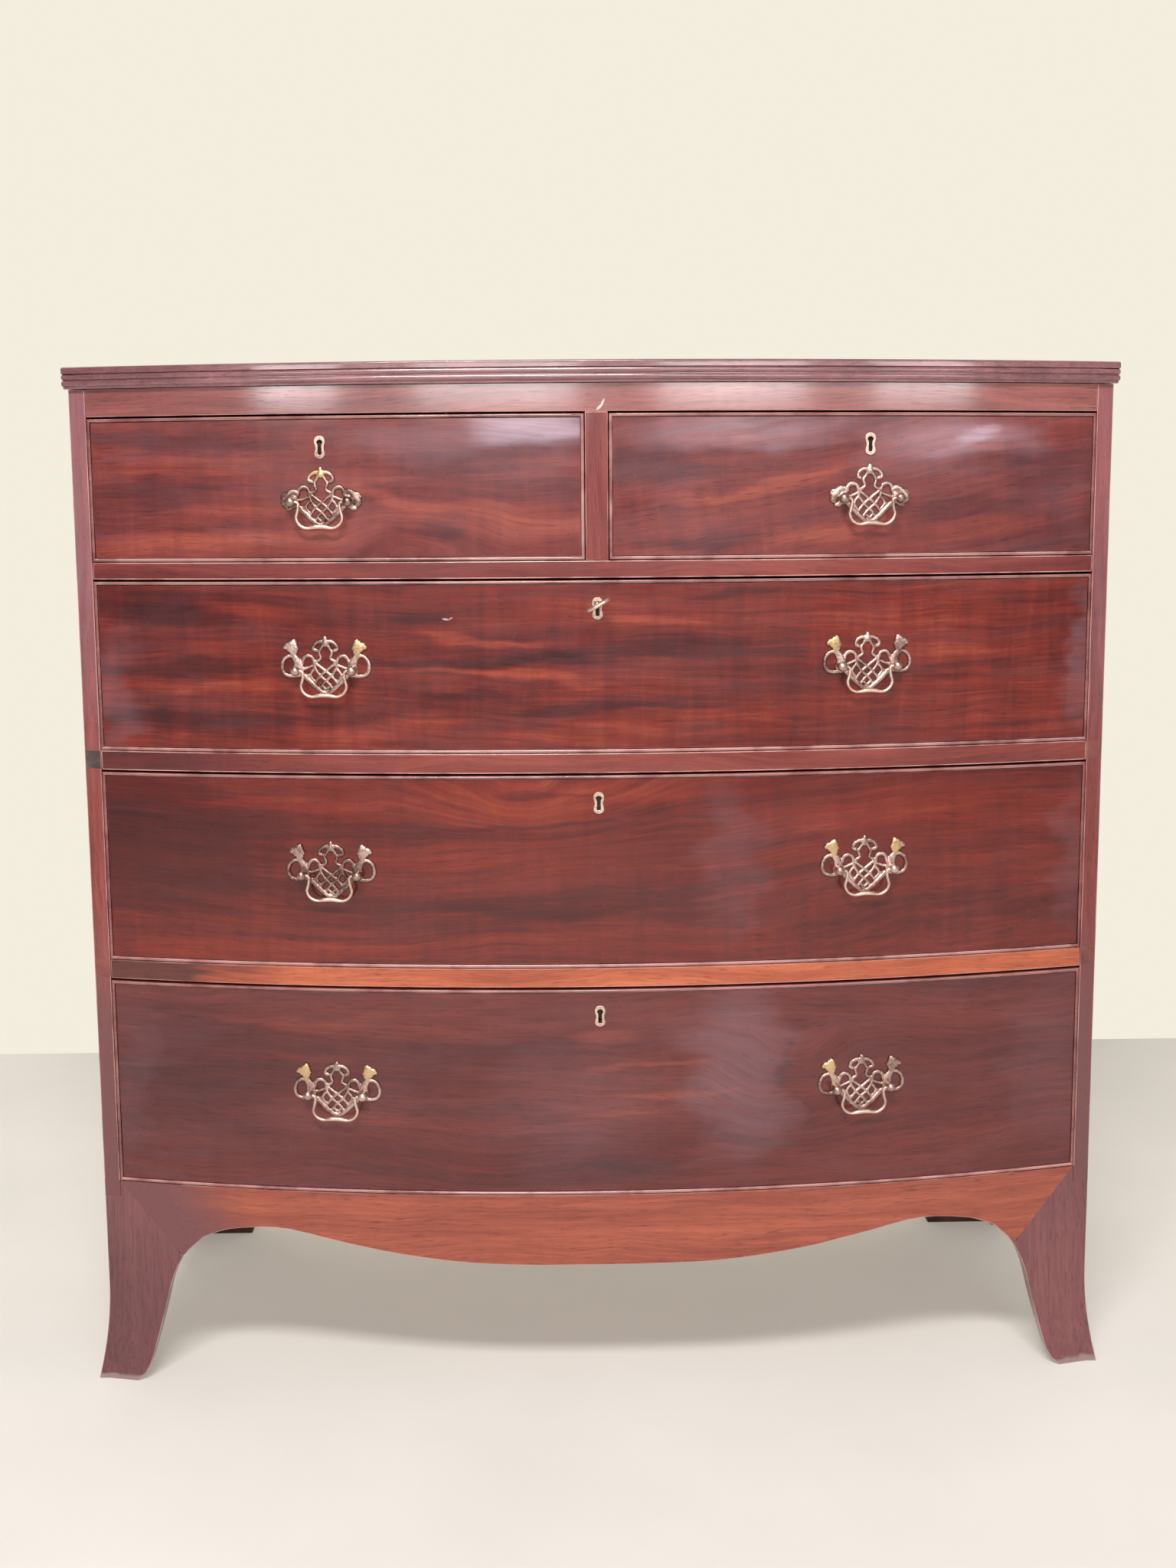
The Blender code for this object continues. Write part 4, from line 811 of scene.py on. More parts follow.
def top_edge():
    """The top's edge from its upper face down: depth under the face, and how far it is set back."""
    levels = [(0.0, TOP_ARRIS), (0.3 * TOP_ARRIS, 0.35 * TOP_ARRIS), (TOP_ARRIS, 0.0), (BAND_H, 0.0)]
    down = BAND_H + REED_SPACE
    for _ in range(2):
        for i in range(7):
            angle = math.pi * i / 6
            levels.append((down + REED_H * (1 - math.cos(angle)) / 2, REED_DEPTH * (1 - math.sin(angle))))
        down += REED_H + REED_SPACE
    return [*levels, (down, UNDER_STEP)]


def make_top():
    """The top: a plain band, two reeds and a step round its front and sides, and a plain back."""
    low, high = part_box("top_board")
    thick = high.z - low.z
    levels = [(min(at, thick), inset) for at, inset in [*top_edge(), (thick, UNDER_STEP)]]

    def moved(x, y, z):
        inset = min(levels, key=lambda level: abs(level[0] + z))[1]
        over = high.x - HALF_W - inset
        half = HALF_W + over
        front = arc_y(half * x, half, over)
        return half * x, front + (BACK_Y - front) * y, high.z + z

    cuts = {Z: [-at for at, _ in levels[1:-1]], X: [x / HALF_W for x in BOW_CUTS]}
    piece("reeded_top", shaped((-1.0, 0.0, -thick), (1.0, 1.0, 0.0), cuts, moved), TOP_WOOD, "top_board")


def make_side(word):
    """A side of the case, whose arris is rounded and painted pale above the feet, as wear and painted
    highlight.
    """
    low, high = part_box("side_" + word)
    bm = block((low.x, CORNER_Y, low.z), (high.x, BACK_Y, high.z))
    slice_at(bm, Y, [CORNER_Y + 30 * MM])
    slice_at(bm, Z, [LOWER_Z])
    fit_end_to_bow(bm)
    soften(bm, 0.9 * MM, 3, lambda e: max(v.co.z for v in e.verts) > LEG_H + 2 * MM)
    paint_wear_and_highlight(bm, bm.faces, lambda face, vert, wear_and_highlight: wear_and_highlight * (face.calc_center_median().z >= LOWER_Z))
    piece("side_board_" + word, bm, STILE_WOOD, "side_" + word)


def bowed_board(name, node, material, arris, mortise=None):
    """A bowed rail, or the upright between the short drawers, with a straight back."""
    low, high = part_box(node)
    bm = block((low.x, CORNER_Y, low.z), (high.x, high.y, high.z))
    slice_at(bm, X, [x for x in BOW_CUTS if low.x + 2 * MM < x < high.x - 2 * MM])
    bend(bm, high.y)
    soften(bm, arris)
    if mortise:
        bm = carve(bm, mortise)
    piece(name, bm, material, node)


def bolt_mortise():
    """The hole in the upper rail that the bolt of the lock rises into."""
    low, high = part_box("lock_bolt")
    play = Vector((0.5 * MM,) * 3)
    return block(low - play, Vector((high.x, high.y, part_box("rail_upper")[0].z + 7 * MM)) + play)


def make_tenon(rail, side, word, material):
    """The end of a rail's tenon, which shows beside the side's edge."""
    low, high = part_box("rail_" + rail)
    bm = block((side * (INNER_X + 0.4 * MM), CORNER_Y - 0.12 * MM, low.z + MM),
               (side * (HALF_W - 0.8 * MM), CORNER_Y + 6 * MM, high.z - 0.6 * MM))
    bend(bm)
    soften(bm, 0.3 * MM, 1)
    piece(f"rail_tenon_{rail}_{word}", bm, material)


def make_case():
    """Sides, frieze, rails, upright and the tenons that show at the corners."""
    for _, word in SIDES:
        make_side(word)
    bowed_board("frieze", "frieze_rail", FRIEZE_WOOD, 0.6 * MM)
    bowed_board("drawer_rail_upper", "rail_upper", CASE_WOOD, RAIL_ARRIS, bolt_mortise())
    bowed_board("drawer_rail_middle", "rail_middle", CASE_WOOD, RAIL_ARRIS)
    bowed_board("drawer_rail_lower", "rail_lower", LOW_RAIL_WOOD, RAIL_ARRIS)
    bowed_board("drawer_upright", "short_drawer_divider", STILE_WOOD, 0.8 * MM)
    for rail in ("middle", "lower"):
        for side, word in SIDES:
            dark = (rail, word) == ("middle", "left")
            make_tenon(rail, side, word, DARK_TENON if dark else TENON_WOOD)


def make_back():
    """The back's upright boards, with gaps between them, and the nails along their ends."""
    low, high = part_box("back_panel")
    face_y = high.y - 0.6 * MM
    nails = fresh()
    for i in range(BACK_BOARDS):
        x = low.x + i * BACK_BOARD_W
        bm = block((x + 0.8 * MM, low.y, low.z), (x + BACK_BOARD_W - 0.8 * MM, face_y, high.z))
        soften(bm, 1.6 * MM)
        piece(f"back_board_{i + 1}", bm, BACK_PINE, *(() if i else ("back_panel",)))
        for share in (0.2, 0.8):
            for z in (low.z + 12 * MM, low.z + 0.45 * (high.z - low.z), high.z - 12 * MM):
                dome(nails, (x + share * BACK_BOARD_W, face_y, z), NAIL_R, (1, 0.25, 1), 8)
    piece("back_nails", nails, IRON)


def flare_at(z):
    """How far a foot stands out of the case's face at a height."""
    return FLARE * max(1.0 - z / FLARE_H, 0.0) ** 2


def foot_width(z):
    """Width of a shaped bracket at a height."""
    return smooth_at(FOOT_EDGE, min(z / ARCH_END_Z, 1.0))


def under_apron(x):
    """Height of the front apron's lower edge, or of its slanting ends, at x."""
    x, split = abs(x), HALF_W - FOOT_W
    if x <= split:
        return LEG_H - smooth_at(APRON_EDGE, x / split)
    if x >= MITRE_X:
        return MITRE_Z + (x - MITRE_X) * MITRE_RISE
    low, high = 0.5 * ARCH_END_Z, ARCH_END_Z
    for _ in range(30):
        z = (low + high) / 2
        low, high = (z, high) if HALF_W - foot_width(z) > x else (low, z)
    return z


def make_front_apron():
    """The front apron, with its serpentine edge and slanting ends."""
    end, top, first = INNER_X - MM, LOWER_Z - JOINT, APRON_FINE_X
    cuts = [first * i / 24 for i in range(1, 25)] + [first + (end - first) * i / 30 for i in range(1, 30)]

    def moved(x, y, z):
        return x, y, min(under_apron(x), top - 0.5 * MM) if z < MM else z

    bm = shaped((-end, CORNER_Y, 0.0), (end, CORNER_Y + APRON_T, top),
                {X: [0.0, *cuts, *(-x for x in cuts)]}, moved)
    bend(bm)
    soften(bm, APRON_ARRIS, 2, lambda e: max(abs(v.co.x) for v in e.verts) < MITRE_X + MM)
    piece("apron_face", bm, APRON_WOOD, "apron_front")


def make_side_apron(word):
    """A side apron, which has plain ends."""
    low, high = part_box("apron_" + word)
    middle, half = (low.y + high.y) / 2, (high.y - low.y) / 2

    def moved(x, y, z):
        return x, y, high.z - smooth_at(SIDE_APRON_EDGE, abs(y - middle) / half) if z < high.z - MM else z

    bm = shaped(low, high, {Y: [low.y + (high.y - low.y) * i / 28 for i in range(1, 28)]}, moved)
    soften(bm, APRON_ARRIS)
    piece("side_apron_" + word, bm, SIDE_APRON_WOOD, "apron_" + word)


def make_aprons():
    """The front apron and the two side ones."""
    make_front_apron()
    for _, word in SIDES:
        make_side_apron(word)


def make_foot_face(side, word):
    """The front of a front foot, mitred to the apron."""
    def moved(t, depth, z):
        out = flare_at(z)
        outer = HALF_W + out - depth if z < FOOT_TOP + 0.1 * MM else INNER_X - JOINT
        inner = HALF_W - foot_width(z)
        if z > MITRE_Z:
            inner = min(MITRE_X + (z - MITRE_Z) / MITRE_RISE, INNER_X - 0.8 * MM)
        x = outer + (inner - outer) * t
        return side * x, arc_y(min(x, HALF_W)) - out + depth, z

    def free(e):
        return (max(v.co.z for v in e.verts) < MITRE_Z
                or min(abs(v.co.x) for v in e.verts) > HALF_W - 2 * MM)

    cuts = {X: [0.25, 0.5, 0.75], Z: [*FOOT_LEVELS, FOOT_TOP, FOOT_TOP + 0.5 * MM, FOOT_TOP + 8 * MM]}
    face = shaped((0, 0, 0), (1, FOOT_T, LOWER_Z - JOINT), cuts, moved)
    soften(face, FOOT_ARRIS, 2, free)
    piece(f"front_foot_{word}_face", face, FOOT_WOOD, "foot_front_" + word)


def foot_board(name, low, high, moved, material, *stands_for):
    """An upright board of a foot, cut at the heights where it bends."""
    bm = shaped(low, high, {Z: FOOT_LEVELS}, moved)
    soften(bm, FOOT_ARRIS)
    piece(name, bm, material, *stands_for)


def make_foot_boards(side, word):
    """The return of a front foot, and the side and the plain back of a rear one."""
    def front_return(depth, t, z):
        out = flare_at(z)
        start, end = CORNER_Y - out + depth, CORNER_Y + foot_width(z)
        return side * (HALF_W + out - depth), start + (end - start) * t, z

    def rear_side(depth, t, z):
        end = BACK_Y - max(foot_width(z), REAR_TOE_MIN)
        return side * (HALF_W + flare_at(z) - depth), BACK_Y + (end - BACK_Y) * t, z

    def rear_back(t, y, z):
        outer = HALF_W + flare_at(z) - FOOT_T - JOINT
        inner = HALF_W - REAR_TOE - (FOOT_W - REAR_TOE) * z / LEG_H
        return side * (outer + (inner - outer) * t), y, z

    low, high = (0, 0, 0), (FOOT_T, 1, FOOT_TOP)
    foot_board(f"front_foot_{word}_return", low, high, front_return, FOOT_WOOD)
    foot_board(f"rear_foot_{word}_side", low, high, rear_side, FOOT_WOOD, "foot_rear_" + word)
    low, high = (0, BACK_Y - FOOT_T, 0), (1, BACK_Y, FOOT_TOP)
    foot_board(f"rear_foot_{word}_back", low, high, rear_back, SHADED_UNDER_WOOD)


def make_glue_blocks(side, word):
    """The blocks glued inside a front and a rear foot."""
    for end, y, away in (("front", CORNER_Y + FOOT_T, MM), ("rear", BACK_Y - FOOT_T, -MM)):
        inside = HALF_W - FOOT_T
        bm = block((side * (inside - 2 * MM), y + 2 * away, 62 * MM),
                   (side * (inside - 18 * MM), y + 18 * away, FOOT_TOP))
        soften(bm, 3 * MM)
        piece(f"glue_block_{end}_{word}", bm, SHADED_UNDER_WOOD)


def make_feet():
    """Four splayed bracket feet."""
    for side, word in SIDES:
        make_foot_face(side, word)
        make_foot_boards(side, word)
        make_glue_blocks(side, word)


def cockbead(low, high):
    """The rounded bead round a drawer front, proud of it, painted palest on its bottom and darker on its
    top and upright ends: painted highlight and shade laid on its wear.
    """
    bm = fresh()
    front = CORNER_Y - BEAD_PROUD
    corners = [(low.x, low.z), (high.x, low.z), (high.x, high.z), (low.x, high.z)]
    inside = bm.faces.new([bm.verts.new((x, front, z)) for x, z in corners])
    bm.normal_update()
    bmesh.ops.inset_region(bm, faces=[inside], thickness=BEAD_W, use_even_offset=True, use_boundary=True)
    bmesh.ops.delete(bm, geom=[inside], context="FACES_ONLY")
    thicken(bm, Y, FRONT_T + BEAD_PROUD)
    soften(bm, 1.3 * MM, 3, lambda e: all(v.co.y < front + 0.1 * MM for v in e.verts))

    # Painted light: the bottom bead faces the light and keeps its full pale edge as painted highlight, the
    # top is dimmed, and the upright ends away from the middle are dimmed most, as painted shade.
    def rubbed_and_lit(face, vert, wear_and_highlight):
        middle = face.calc_center_median()
        upright = min(middle.x - low.x, high.x - middle.x) < BEAD_W and abs(middle.x) > 0.1
        return wear_and_highlight * (0.25 if upright else 0.6 if middle.z > high.z - BEAD_W else 1.0)

    paint_wear_and_highlight(bm, bm.faces, rubbed_and_lit)
    return bm


def keyhole_of(name):
    """X and Z of a drawer's keyhole, at the middle of its round part."""
    low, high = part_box(name + "_escutcheon")
    return (low.x + high.x) / 2, high.z - ESCUTCHEON_EDGE[0][1] * MM


def keyhole_cutters(name, beyond=10 * MM):
    """The round part and the slot of a keyhole, through a drawer front and as far beyond it."""
    x, z = keyhole_of(name)
    y0, y1 = arc_y(x) - 10 * MM, arc_y(x) + FRONT_T + beyond
    hole = fresh()
    bmesh.ops.create_cone(hole, cap_ends=True, segments=24, radius1=KEYHOLE_R, radius2=KEYHOLE_R,
                          depth=y1 - y0, matrix=Matrix.Translation((x, (y0 + y1) / 2, z)) @ UPRIGHT)
    return hole, block((x - KEYHOLE_SLOT_X, y0, z - KEYHOLE_SLOT_H), (x + KEYHOLE_SLOT_X, y1, z))


def lock_place(name):
    """Takes the lock from the upper long drawer to another one, at the same depth under its top edge."""
    x, z = keyhole_of("upper_drawer")
    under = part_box("upper_drawer_front")[1].z - z
    own = fitting_place(keyhole_of(name)[0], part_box(name + "_front")[1].z - under)
    return own @ fitting_place(x, z).inverted()


def make_front(name):
    """A drawer's facing and cockbead, with its keyhole and with the recess for its lock."""
    low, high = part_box(name + "_front")
    gap = BEAD_W + 0.5 * MM
    facing = block((low.x + gap, CORNER_Y, low.z + gap), (high.x - gap, CORNER_Y + FRONT_T, high.z - gap))
    bead = cockbead(low, high)
    for bm in (facing, bead):
        slice_at(bm, X, [x for x in BOW_CUTS if low.x + 4 * MM < x < high.x - 4 * MM])
        bend(bm)
    soften(facing, 0.3 * MM, 1)
    facing = carve(facing, *keyhole_cutters(name))
    lock_low, lock_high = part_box("lock_case")
    play = Vector((JOINT, JOINT, JOINT))
    room = block(lock_low - play, lock_high + Vector((0, 4 * MM, 6 * MM)) + play)
    recess = placed(room, lock_place(name))
    facing = carve(facing, recess.copy())
    piece(name + "_facing", facing, DRAWER_WOODS[name], name + "_front", body=name)
    piece(name + "_cockbead", carve(bead, recess), BEAD_WOODS[name], body=name)


def make_box(name):
    """The oak sides and back of a drawer."""
    low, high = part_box(name + "_box")
    floor_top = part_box(name + "_bottom")[1].z
    inner_low, inner_high = low.x + BOX_SIDE_T, high.x - BOX_SIDE_T
    for word, x0, x1, stands_for in (("left", low.x, inner_low, [name + "_box"]),
                                     ("right", inner_high, high.x, [])):
        bm = block((x0, CORNER_Y, low.z), (x1, high.y, high.z))
        fit_end_to_bow(bm, FRONT_T + JOINT)
        soften(bm, BOX_ARRIS)
        piece(f"{name}_side_{word}", bm, OAK, *stands_for, body=name)
    back = block((inner_low, high.y - BOX_BACK_T, floor_top + JOINT), (inner_high, high.y, high.z - 2 * MM))
    soften(back, BOX_ARRIS)
    piece(name + "_back", back, OAK_END, body=name)


def dovetails(bm, x, wide_y, narrow_y, low_z, high_z, count):
    """Wedges let into the side of a drawer's box, proud by a hair."""
    pitch = (high_z - low_z) / count
    for i in range(count):
        z = low_z + (i + 0.5) * pitch
        wide, narrow = 0.34 * pitch, 0.20 * pitch
        before = set(bm.verts)
        block((x - 1.2 * MM, wide_y, z - wide), (x + 1.2 * MM, narrow_y, z + wide), bm)
        for v in set(bm.verts) - before:
            if abs(v.co.y - narrow_y) < 0.1 * MM:
                v.co.z = z + (narrow if v.co.z > z else -narrow)


def make_dovetails(name):
    """The dovetails at the front and the back of a drawer's sides."""
    low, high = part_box(name + "_box")
    front_low, front_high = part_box(name + "_front")
    tails, pins = fresh(), fresh()
    count = 3 if front_high.z - front_low.z < LOW_DRAWER_H else 4
    for x in (low.x + 1.1 * MM, high.x - 1.1 * MM):
        face = arc_y(x)
        dovetails(tails, x, face + 7 * MM, face + FRONT_T - 0.2 * MM,
                  low.z + 5 * MM, front_high.z - 8 * MM, count)
        dovetails(pins, x, high.y - 0.1 * MM, high.y - BOX_BACK_T,
                  low.z + 4 * MM, high.z - 3 * MM, count)
    piece(name + "_lap_dovetails", tails, OAK, body=name)
    piece(name + "_back_dovetails", pins, OAK_END, body=name)


def make_drawer(name):
    """A drawer: its front, its oak box and their dovetails."""
    make_front(name)
    make_box(name)
    make_dovetails(name)


def keyhole_plate():
    """A thin brass plate round a keyhole, drawn in mm, with its pins."""
    count = 56
    bm = fresh()
    edges = []
    for outline in (ESCUTCHEON_EDGE, KEYHOLE_EDGE):
        ring = [bm.verts.new(p) for p in through(mirrored(outline), count, closed=True)]
        edges += [bm.edges.new((ring[i], ring[(i + 1) % count])) for i in range(count)]
    bmesh.ops.bridge_loops(bm, edges=edges)
    thicken(bm, Z, ESCUTCHEON_T)
    soften(bm, 0.3, 2, lambda e: all(v.co.z > 0.5 * ESCUTCHEON_T for v in e.verts))
    for y in (4.8, -12.8):
        dome(bm, (0, y, ESCUTCHEON_T), 0.8, (1, 1, 0.4))
    return bm


def flattened(bm):
    """The strands as one skin with a rounded front, thinned and with a flat back."""
    for v in bm.verts:
        high = CASTING_RELIEF * math.tanh(1.15 * v.co.z / CASTING_RELIEF)
        v.co.z = high if v.co.z > 0 else 0.3 * v.co.z
    obj = closed_object("casting", bm)
    remesh = obj.modifiers.new("remesh", "REMESH")
    remesh.mode = "VOXEL"
    remesh.voxel_size = CASTING_VOXEL
    relax = obj.modifiers.new("relax", "SMOOTH")
    relax.factor = 0.5
    relax.iterations = 3
    thin = obj.modifiers.new("thin", "DECIMATE")
    thin.ratio = 0.4
    bm = worked_out(obj)
    for v in bm.verts:
        v.co.z = max(v.co.z, 0.0)
    bmesh.ops.remove_doubles(bm, verts=bm.verts, dist=0.02)
    return bm


def casting(strands):
    """A pierced plate cast from strands and leaves, in mm."""
    bm = fresh()
    for points, radii in strands:
        for sign in (-1, 1):
            count = max(4 * len(points), 8)
            line = through([(sign * x, y) for x, y in points], count)
            widths = [STRAND_SWELL * width for width in values_along(radii, count)]
            round_bar(line, widths, 10, bm=bm)
            for end in (0, -1):
                dome(bm, line[end], widths[end], rings=8)
    return flattened(bm)


def post():
    """A turned post with a domed head, along Z, in mm."""
    head = oval_points(POST_HEAD_R, 0.9 * POST_HEAD_R, (90, 74, 58, 42, 26, 10, -10, -28, -44))
    head = [(radius, BAIL_OUT + z) for radius, z in head]
    head[0] = (0.0, head[0][1])
    neck = [(POST_STEM_R, BAIL_OUT - POST_HEAD_R), (POST_STEM_R, 3.0), (4.4, 1.6), (4.8, 0.3), (0.0, 0.3)]
    return turned(fresh(), [*head, *neck], 24)


def backplate(strands):
    """A casting with its two posts."""
    bm = casting(strands)
    for side, _ in SIDES:
        mesh = bpy.data.meshes.new("post")
        placed(post(), Matrix.Translation((side * POST_X, 0, 0))).to_mesh(mesh)
        bm.from_mesh(mesh)
        bpy.data.meshes.remove(mesh)
    return bm


def bail():
    """A bail in its own plane, in mm: hooked ends, rounded corners, and a swelled and lifted grip."""
    face = POST_X - POST_HEAD_R
    hook = face - BAIL_LEG
    corner_x = BAIL_LEG + BAIL_BULGE - BAIL_CORNER
    corner_y = BAIL_CORNER - BAIL_DROP
    half = [(face + 2.0, 0.0), (face, 0.0)]
    half += [(face + x, y - hook) for x, y in oval_points(hook, hook, (112, 135, 158, 180))]
    half += [(BAIL_LEG + 0.3 * BAIL_BULGE, -8.0), (BAIL_LEG + 0.8 * BAIL_BULGE, -12.5)]
    corner = oval_points(BAIL_CORNER, BAIL_CORNER, range(0, 91, 15))
    half += [(corner_x + x, corner_y - y) for x, y in corner]
    half += [(x, share * BAIL_RISE - BAIL_DROP) for x, share in ((BAIL_GRIP, 0.3), (5.0, 0.8), (1.8, 1.0))]
    line = through(mirrored(half), 90)
    swell = [(BAIL_SWELL - 1) * math.exp(-(p.x / BAIL_GRIP) ** 4) * (p.y < -BAIL_DROP / 2) for p in line]
    bm = round_bar(line, [BAIL_R * (1 + more) for more in swell])
    paint_wear_and_highlight(bm, bm.faces, lambda face, vert, wear_and_highlight: 0.8 if vert.co.y < -BAIL_DROP + 4 else 0.15)
    return bm


def make_pull(name, body, drawer, plate, handle):
    """A pull: its casting with two posts, and the bail that hangs from them."""
    low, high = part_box(name + "_bail")
    x, z = math.copysign(PULL_X, low.x), high.z - BAIL_R * MM
    for shape, word, out, material, node, rides_on in (
            (plate, "backplate", 0.0, BRASS, "plate", drawer),
            (handle, "handle", BAIL_OUT * MM, RUBBED_BRASS, "bail", body)):
        at = fitting_place(x, z, JOINT + out)
        piece(f"{name}_{word}", placed(shape, at), material, f"{name}_{node}", body=rides_on, smooth=60)


def make_brasses():
    """Eight pulls and five keyhole plates."""
    scroll, wing, handle = backplate(LATTICE + SCROLL), backplate(LATTICE + WING), bail()
    for _, side in SIDES:
        make_pull(f"top_{side}_drawer", f"top_{side}_bail", f"top_{side}_drawer", wing, handle)
    for row in ("upper", "middle", "lower"):
        for _, side in SIDES:
            make_pull(f"{row}_drawer_{side}", f"{row}_{side}_bail", row + "_drawer", scroll, handle)
    plate = keyhole_plate()
    for name in DRAWERS:
        copy = placed(plate, fitting_place(*keyhole_of(name), JOINT))
        piece(name + "_keyhole_plate", copy, RUBBED_BRASS, name + "_escutcheon", body=name)


def lock_case():
    """The steel case of a lock, with the way of its bolt, its keyhole and its screws."""
    low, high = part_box("lock_case")
    bolt_low, bolt_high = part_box("lock_bolt")
    case = block(low, high - Vector((0, 0, 0.2 * MM)))
    soften(case, 0.5 * MM)
    play = Vector((0.4 * MM, 0.2 * MM, 0))
    way = block(bolt_low - play - Vector((0, 0, 14 * MM)), bolt_high + play + Vector((0, 0, 9 * MM)))
    case = carve(case, way, *keyhole_cutters("upper_drawer", -3 * MM))
    for side, _ in SIDES:
        for z in (low.z + 6 * MM, high.z - 8 * MM):
            dome(case, (side * LOCK_SCREW_X, high.y, z), LOCK_SCREW_R, (1, 0.3, 1), 12, 8)
    return case


def make_locks():
    """A lock let into each drawer front, with its bolt. Only that of the upper long drawer moves."""
    case = lock_case()
    tongue = block(*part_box("lock_bolt"))
    soften(tongue, 0.5 * MM)
    for name in DRAWERS:
        at, rides_on, nodes = lock_place(name), name, ((), ())
        if name == "upper_drawer":
            rides_on, nodes = "lock_bolt", (["lock_case"], ["lock_bolt"])
        piece(name + "_lock", placed(case, at), STEEL, *nodes[0], body=name)
        piece(name + "_lock_tongue", placed(tongue, at), BRASS, *nodes[1], body=rides_on)


def make_key():
    """The key that was left in the upper long drawer's lock: an oval bow, a turned stem and a bit."""
    centre = KEY_REACH - KEY_BOW_HALF_H
    oval = oval_points(KEY_BOW_HALF_W - KEY_BOW_R, KEY_BOW_HALF_H - KEY_BOW_R, range(0, 360, 9))
    ring = [Vector((*point, 0.0)) for point in oval]
    bm = round_bar(ring, [KEY_BOW_R * (1.0 + 0.12 * abs(p.x) / KEY_BOW_HALF_W) for p in ring], closed=True)
    bmesh.ops.transform(bm, matrix=Matrix.Translation((0, 0, centre)) @ UPRIGHT, verts=bm.verts)
    tip = -(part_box("key")[1].y - arc_y(0.0)) / MM + 0.1
    neck = centre - KEY_BOW_HALF_H + KEY_BOW_R
    mouldings = ((KEY_STEM_R, -7.4), (3.1, -6.8), (3.6, -5.8), (3.1, -4.8), (2.5, -4.2), (2.5, -2.6),
                 (3.2, -2.0), (3.2, -1.2), (2.2, 0.0), (0.0, 0.4))
    profile = [(0.0, tip), (KEY_STEM_R - 0.4, tip), (KEY_STEM_R, tip + 0.5)]
    profile += [(radius, neck + up) for radius, up in mouldings]
    bit = ((-8.0, -1.1, tip + 0.3), (0.0, 1.1, tip + 5.4))
    turned(bm, profile, 20, bit)
    at = fitting_place(*keyhole_of("upper_drawer"), 0.0, KEY_TILT)
    piece("drawer_key", placed(bm, at), RUBBED_BRASS, "key", body="key")


def dress_plain_boards():
    """Bare wood on the boards that keep the frame's own shape."""
    plain = ["dustboard_" + row for row in ("upper", "middle", "lower")]
    plain += ["bottom_board", "short_drawer_partition", *(name + "_bottom" for name in DRAWERS)]
    for name in plain:
        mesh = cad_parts[name].data
        mesh.materials.clear()
        mesh.materials.append(PINE)


def lamp(name, at, target, size, power, colour):
    """A soft rectangular lamp."""
    data = bpy.data.lights.new(name, "AREA")
    data.shape = "RECTANGLE"
    data.size, data.size_y = size
    data.energy = power
    data.color = colour
    obj = bpy.data.objects.new(name, data)
    bpy.context.scene.collection.objects.link(obj)
    obj.location = at
    obj.rotation_euler = (Vector(target) - Vector(at)).to_track_quat("-Z", "Y").to_euler()


def stage_finish(name, waves, low, high, glow, share, clear_behind=False):
    """Matt paint for the floor or the wall, pale to the eye and in reflections.

    A share of what is seen of it glows, and that part throws no light on the chest.
    """
    f = Finish(name)
    low, high, glow = paints(low, high, glow)
    colour = f.ramp(f.noise(f.place, (waves,) * 3, 4.0), [(0.3, low), (0.7, high)])
    matt = f.node("ShaderNodeBsdfDiffuse", {"Color": colour})
    bright = f.node("ShaderNodeEmission", {"Color": glow, "Strength": 1.0})
    path = f.node("ShaderNodeLightPath", {}).outputs
    seen = f.maths("MAXIMUM", path["Is Camera Ray"], path["Is Glossy Ray"])
    seen = f.maths("MAXIMUM", seen, path["Is Transmission Ray"])
    inputs = {0: f.times(seen, share), 1: matt.outputs[0], 2: bright.outputs[0]}
    shader = f.node("ShaderNodeMixShader", inputs)
    if clear_behind:
        clear = f.node("ShaderNodeBsdfTransparent", {})
        behind = f.node("ShaderNodeNewGeometry", {}).outputs["Backfacing"]
        shader = f.node("ShaderNodeMixShader", {0: behind, 1: shader.outputs[0], 2: clear.outputs[0]})
    f.node("ShaderNodeOutputMaterial", {"Surface": shader.outputs[0]})
    return f.material


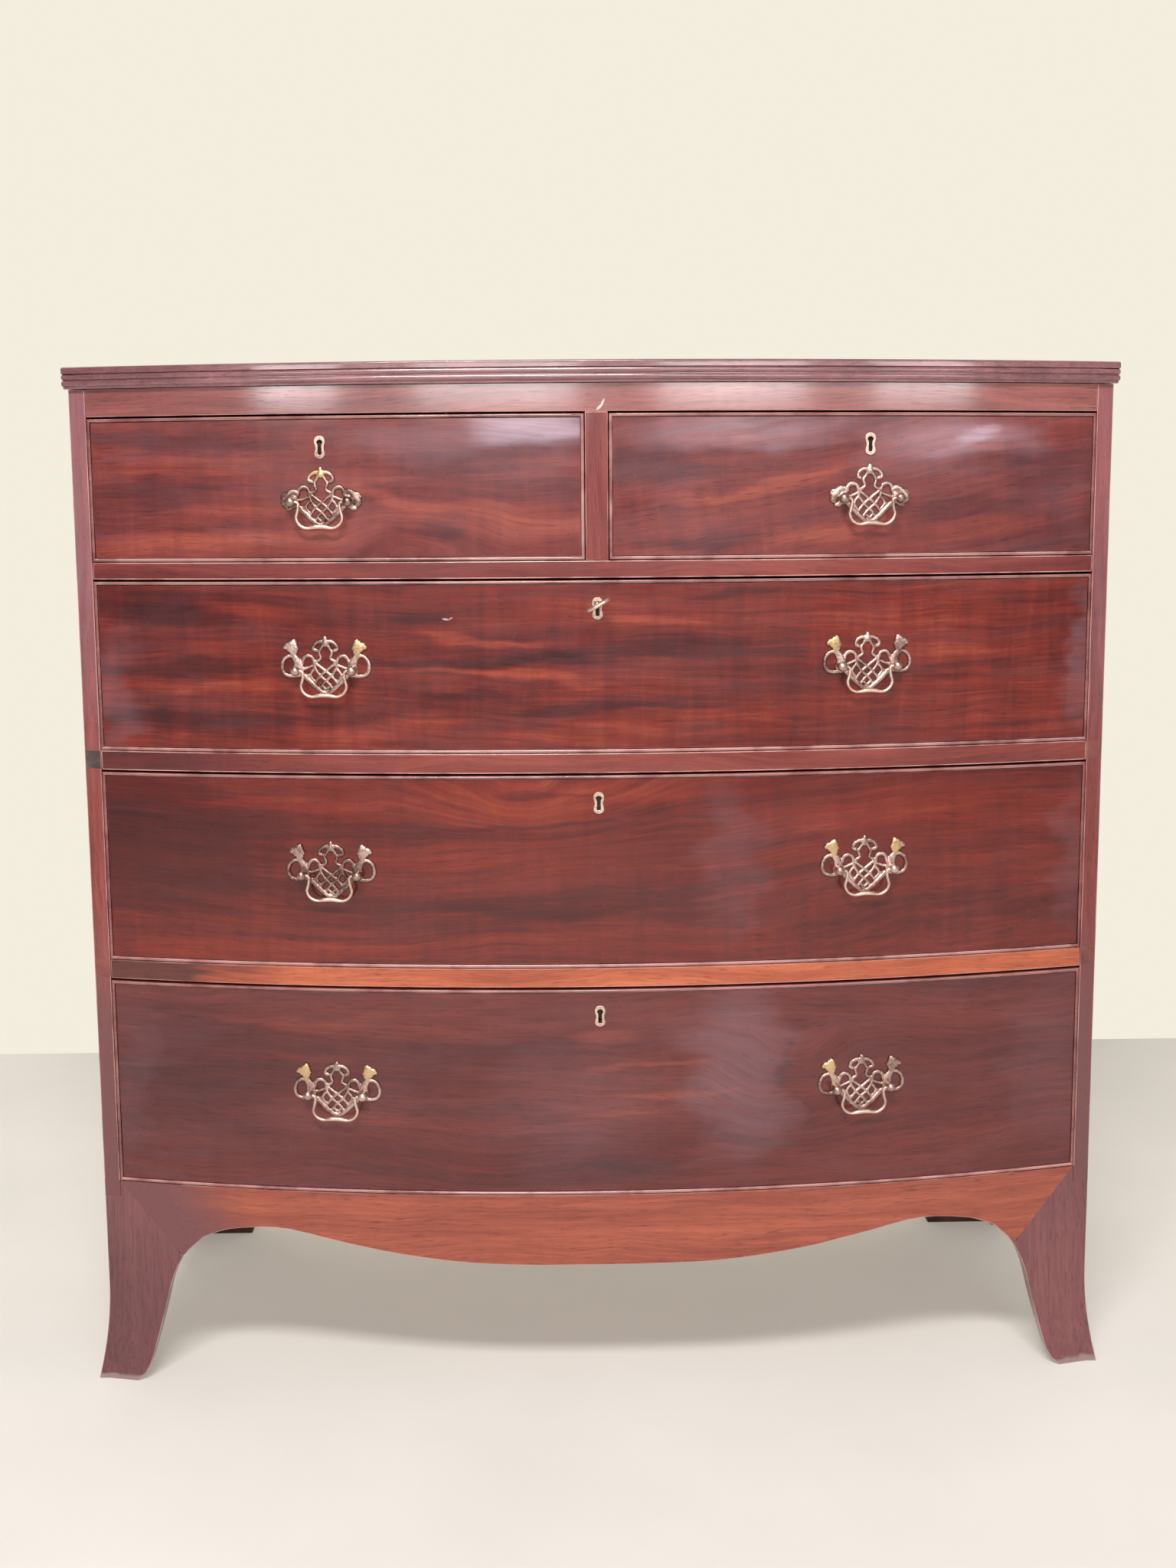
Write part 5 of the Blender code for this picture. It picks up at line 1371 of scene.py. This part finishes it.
def make_room():
    """A pale floor and a pale wall, which is clear from behind."""
    floor_paint = stage_finish("pale_floor", 3, (226, 223, 218), (236, 232, 228), (222, 215, 204), 0.35)
    wall_paint = stage_finish("pale_wall", 2, (226, 222, 205), (234, 230, 214), (243, 238, 222), 1.0, True)
    upright = Matrix.Translation((0, WALL_Y, 0)) @ UPRIGHT
    for name, size, matrix, finish in (("floor", 9.0, Matrix(), floor_paint),
                                       ("backdrop", 7.0, upright, wall_paint)):
        bm = bmesh.new()
        bmesh.ops.create_grid(bm, x_segments=2, y_segments=2, size=size, matrix=matrix)
        obj = as_object(name, bm)
        obj.data.materials.append(finish)


def make_lights():
    """An even room, a ceiling lamp in front, and four windows for the polish to mirror."""
    world = bpy.data.worlds.new("studio")
    world.use_nodes = True
    background = world.node_tree.nodes["Background"].inputs
    background["Color"].default_value = (*DAYLIGHT, 1.0)
    background["Strength"].default_value = ROOM_LIGHT
    bpy.context.scene.world = world
    lamp("ceiling", (-0.35, -2.5, 3.1), (0.0, -0.2, 0.3), (1.4, 0.5), CEILING_POWER, DAYLIGHT)
    for name, low, high in WINDOWS:
        middle, width = math.radians((low + high) / 2), WINDOW_AWAY * math.radians(high - low)
        at = (WINDOW_AWAY * math.sin(middle), -WINDOW_AWAY * math.cos(middle), WINDOW_Z)
        power = WINDOW_GLOW * math.pi * width * WINDOW_H
        lamp(name, at, (0.0, 0.0, 0.9), (width, WINDOW_H), power, (1.0, 0.96, 0.97))


def make_camera():
    """The camera, and the plain view of its colours."""
    scene = bpy.context.scene
    data = bpy.data.cameras.new("camera")
    data.lens = LENS
    camera = bpy.data.objects.new("camera", data)
    scene.collection.objects.link(camera)
    turn = Matrix.Rotation(YAW, 4, "Z") @ Matrix.Rotation(math.radians(90) + PITCH, 4, "X")
    camera.matrix_world = Matrix.Translation(EYE) @ turn @ Matrix.Rotation(ROLL, 4, "Z")
    scene.camera = camera
    scene.view_settings.view_transform = "Standard"


make_top()
make_case()
make_back()
make_aprons()
make_feet()
for drawer_name in DRAWERS:
    make_drawer(drawer_name)
make_brasses()
make_locks()
make_key()
dress_plain_boards()
make_room()
make_lights()
make_camera()
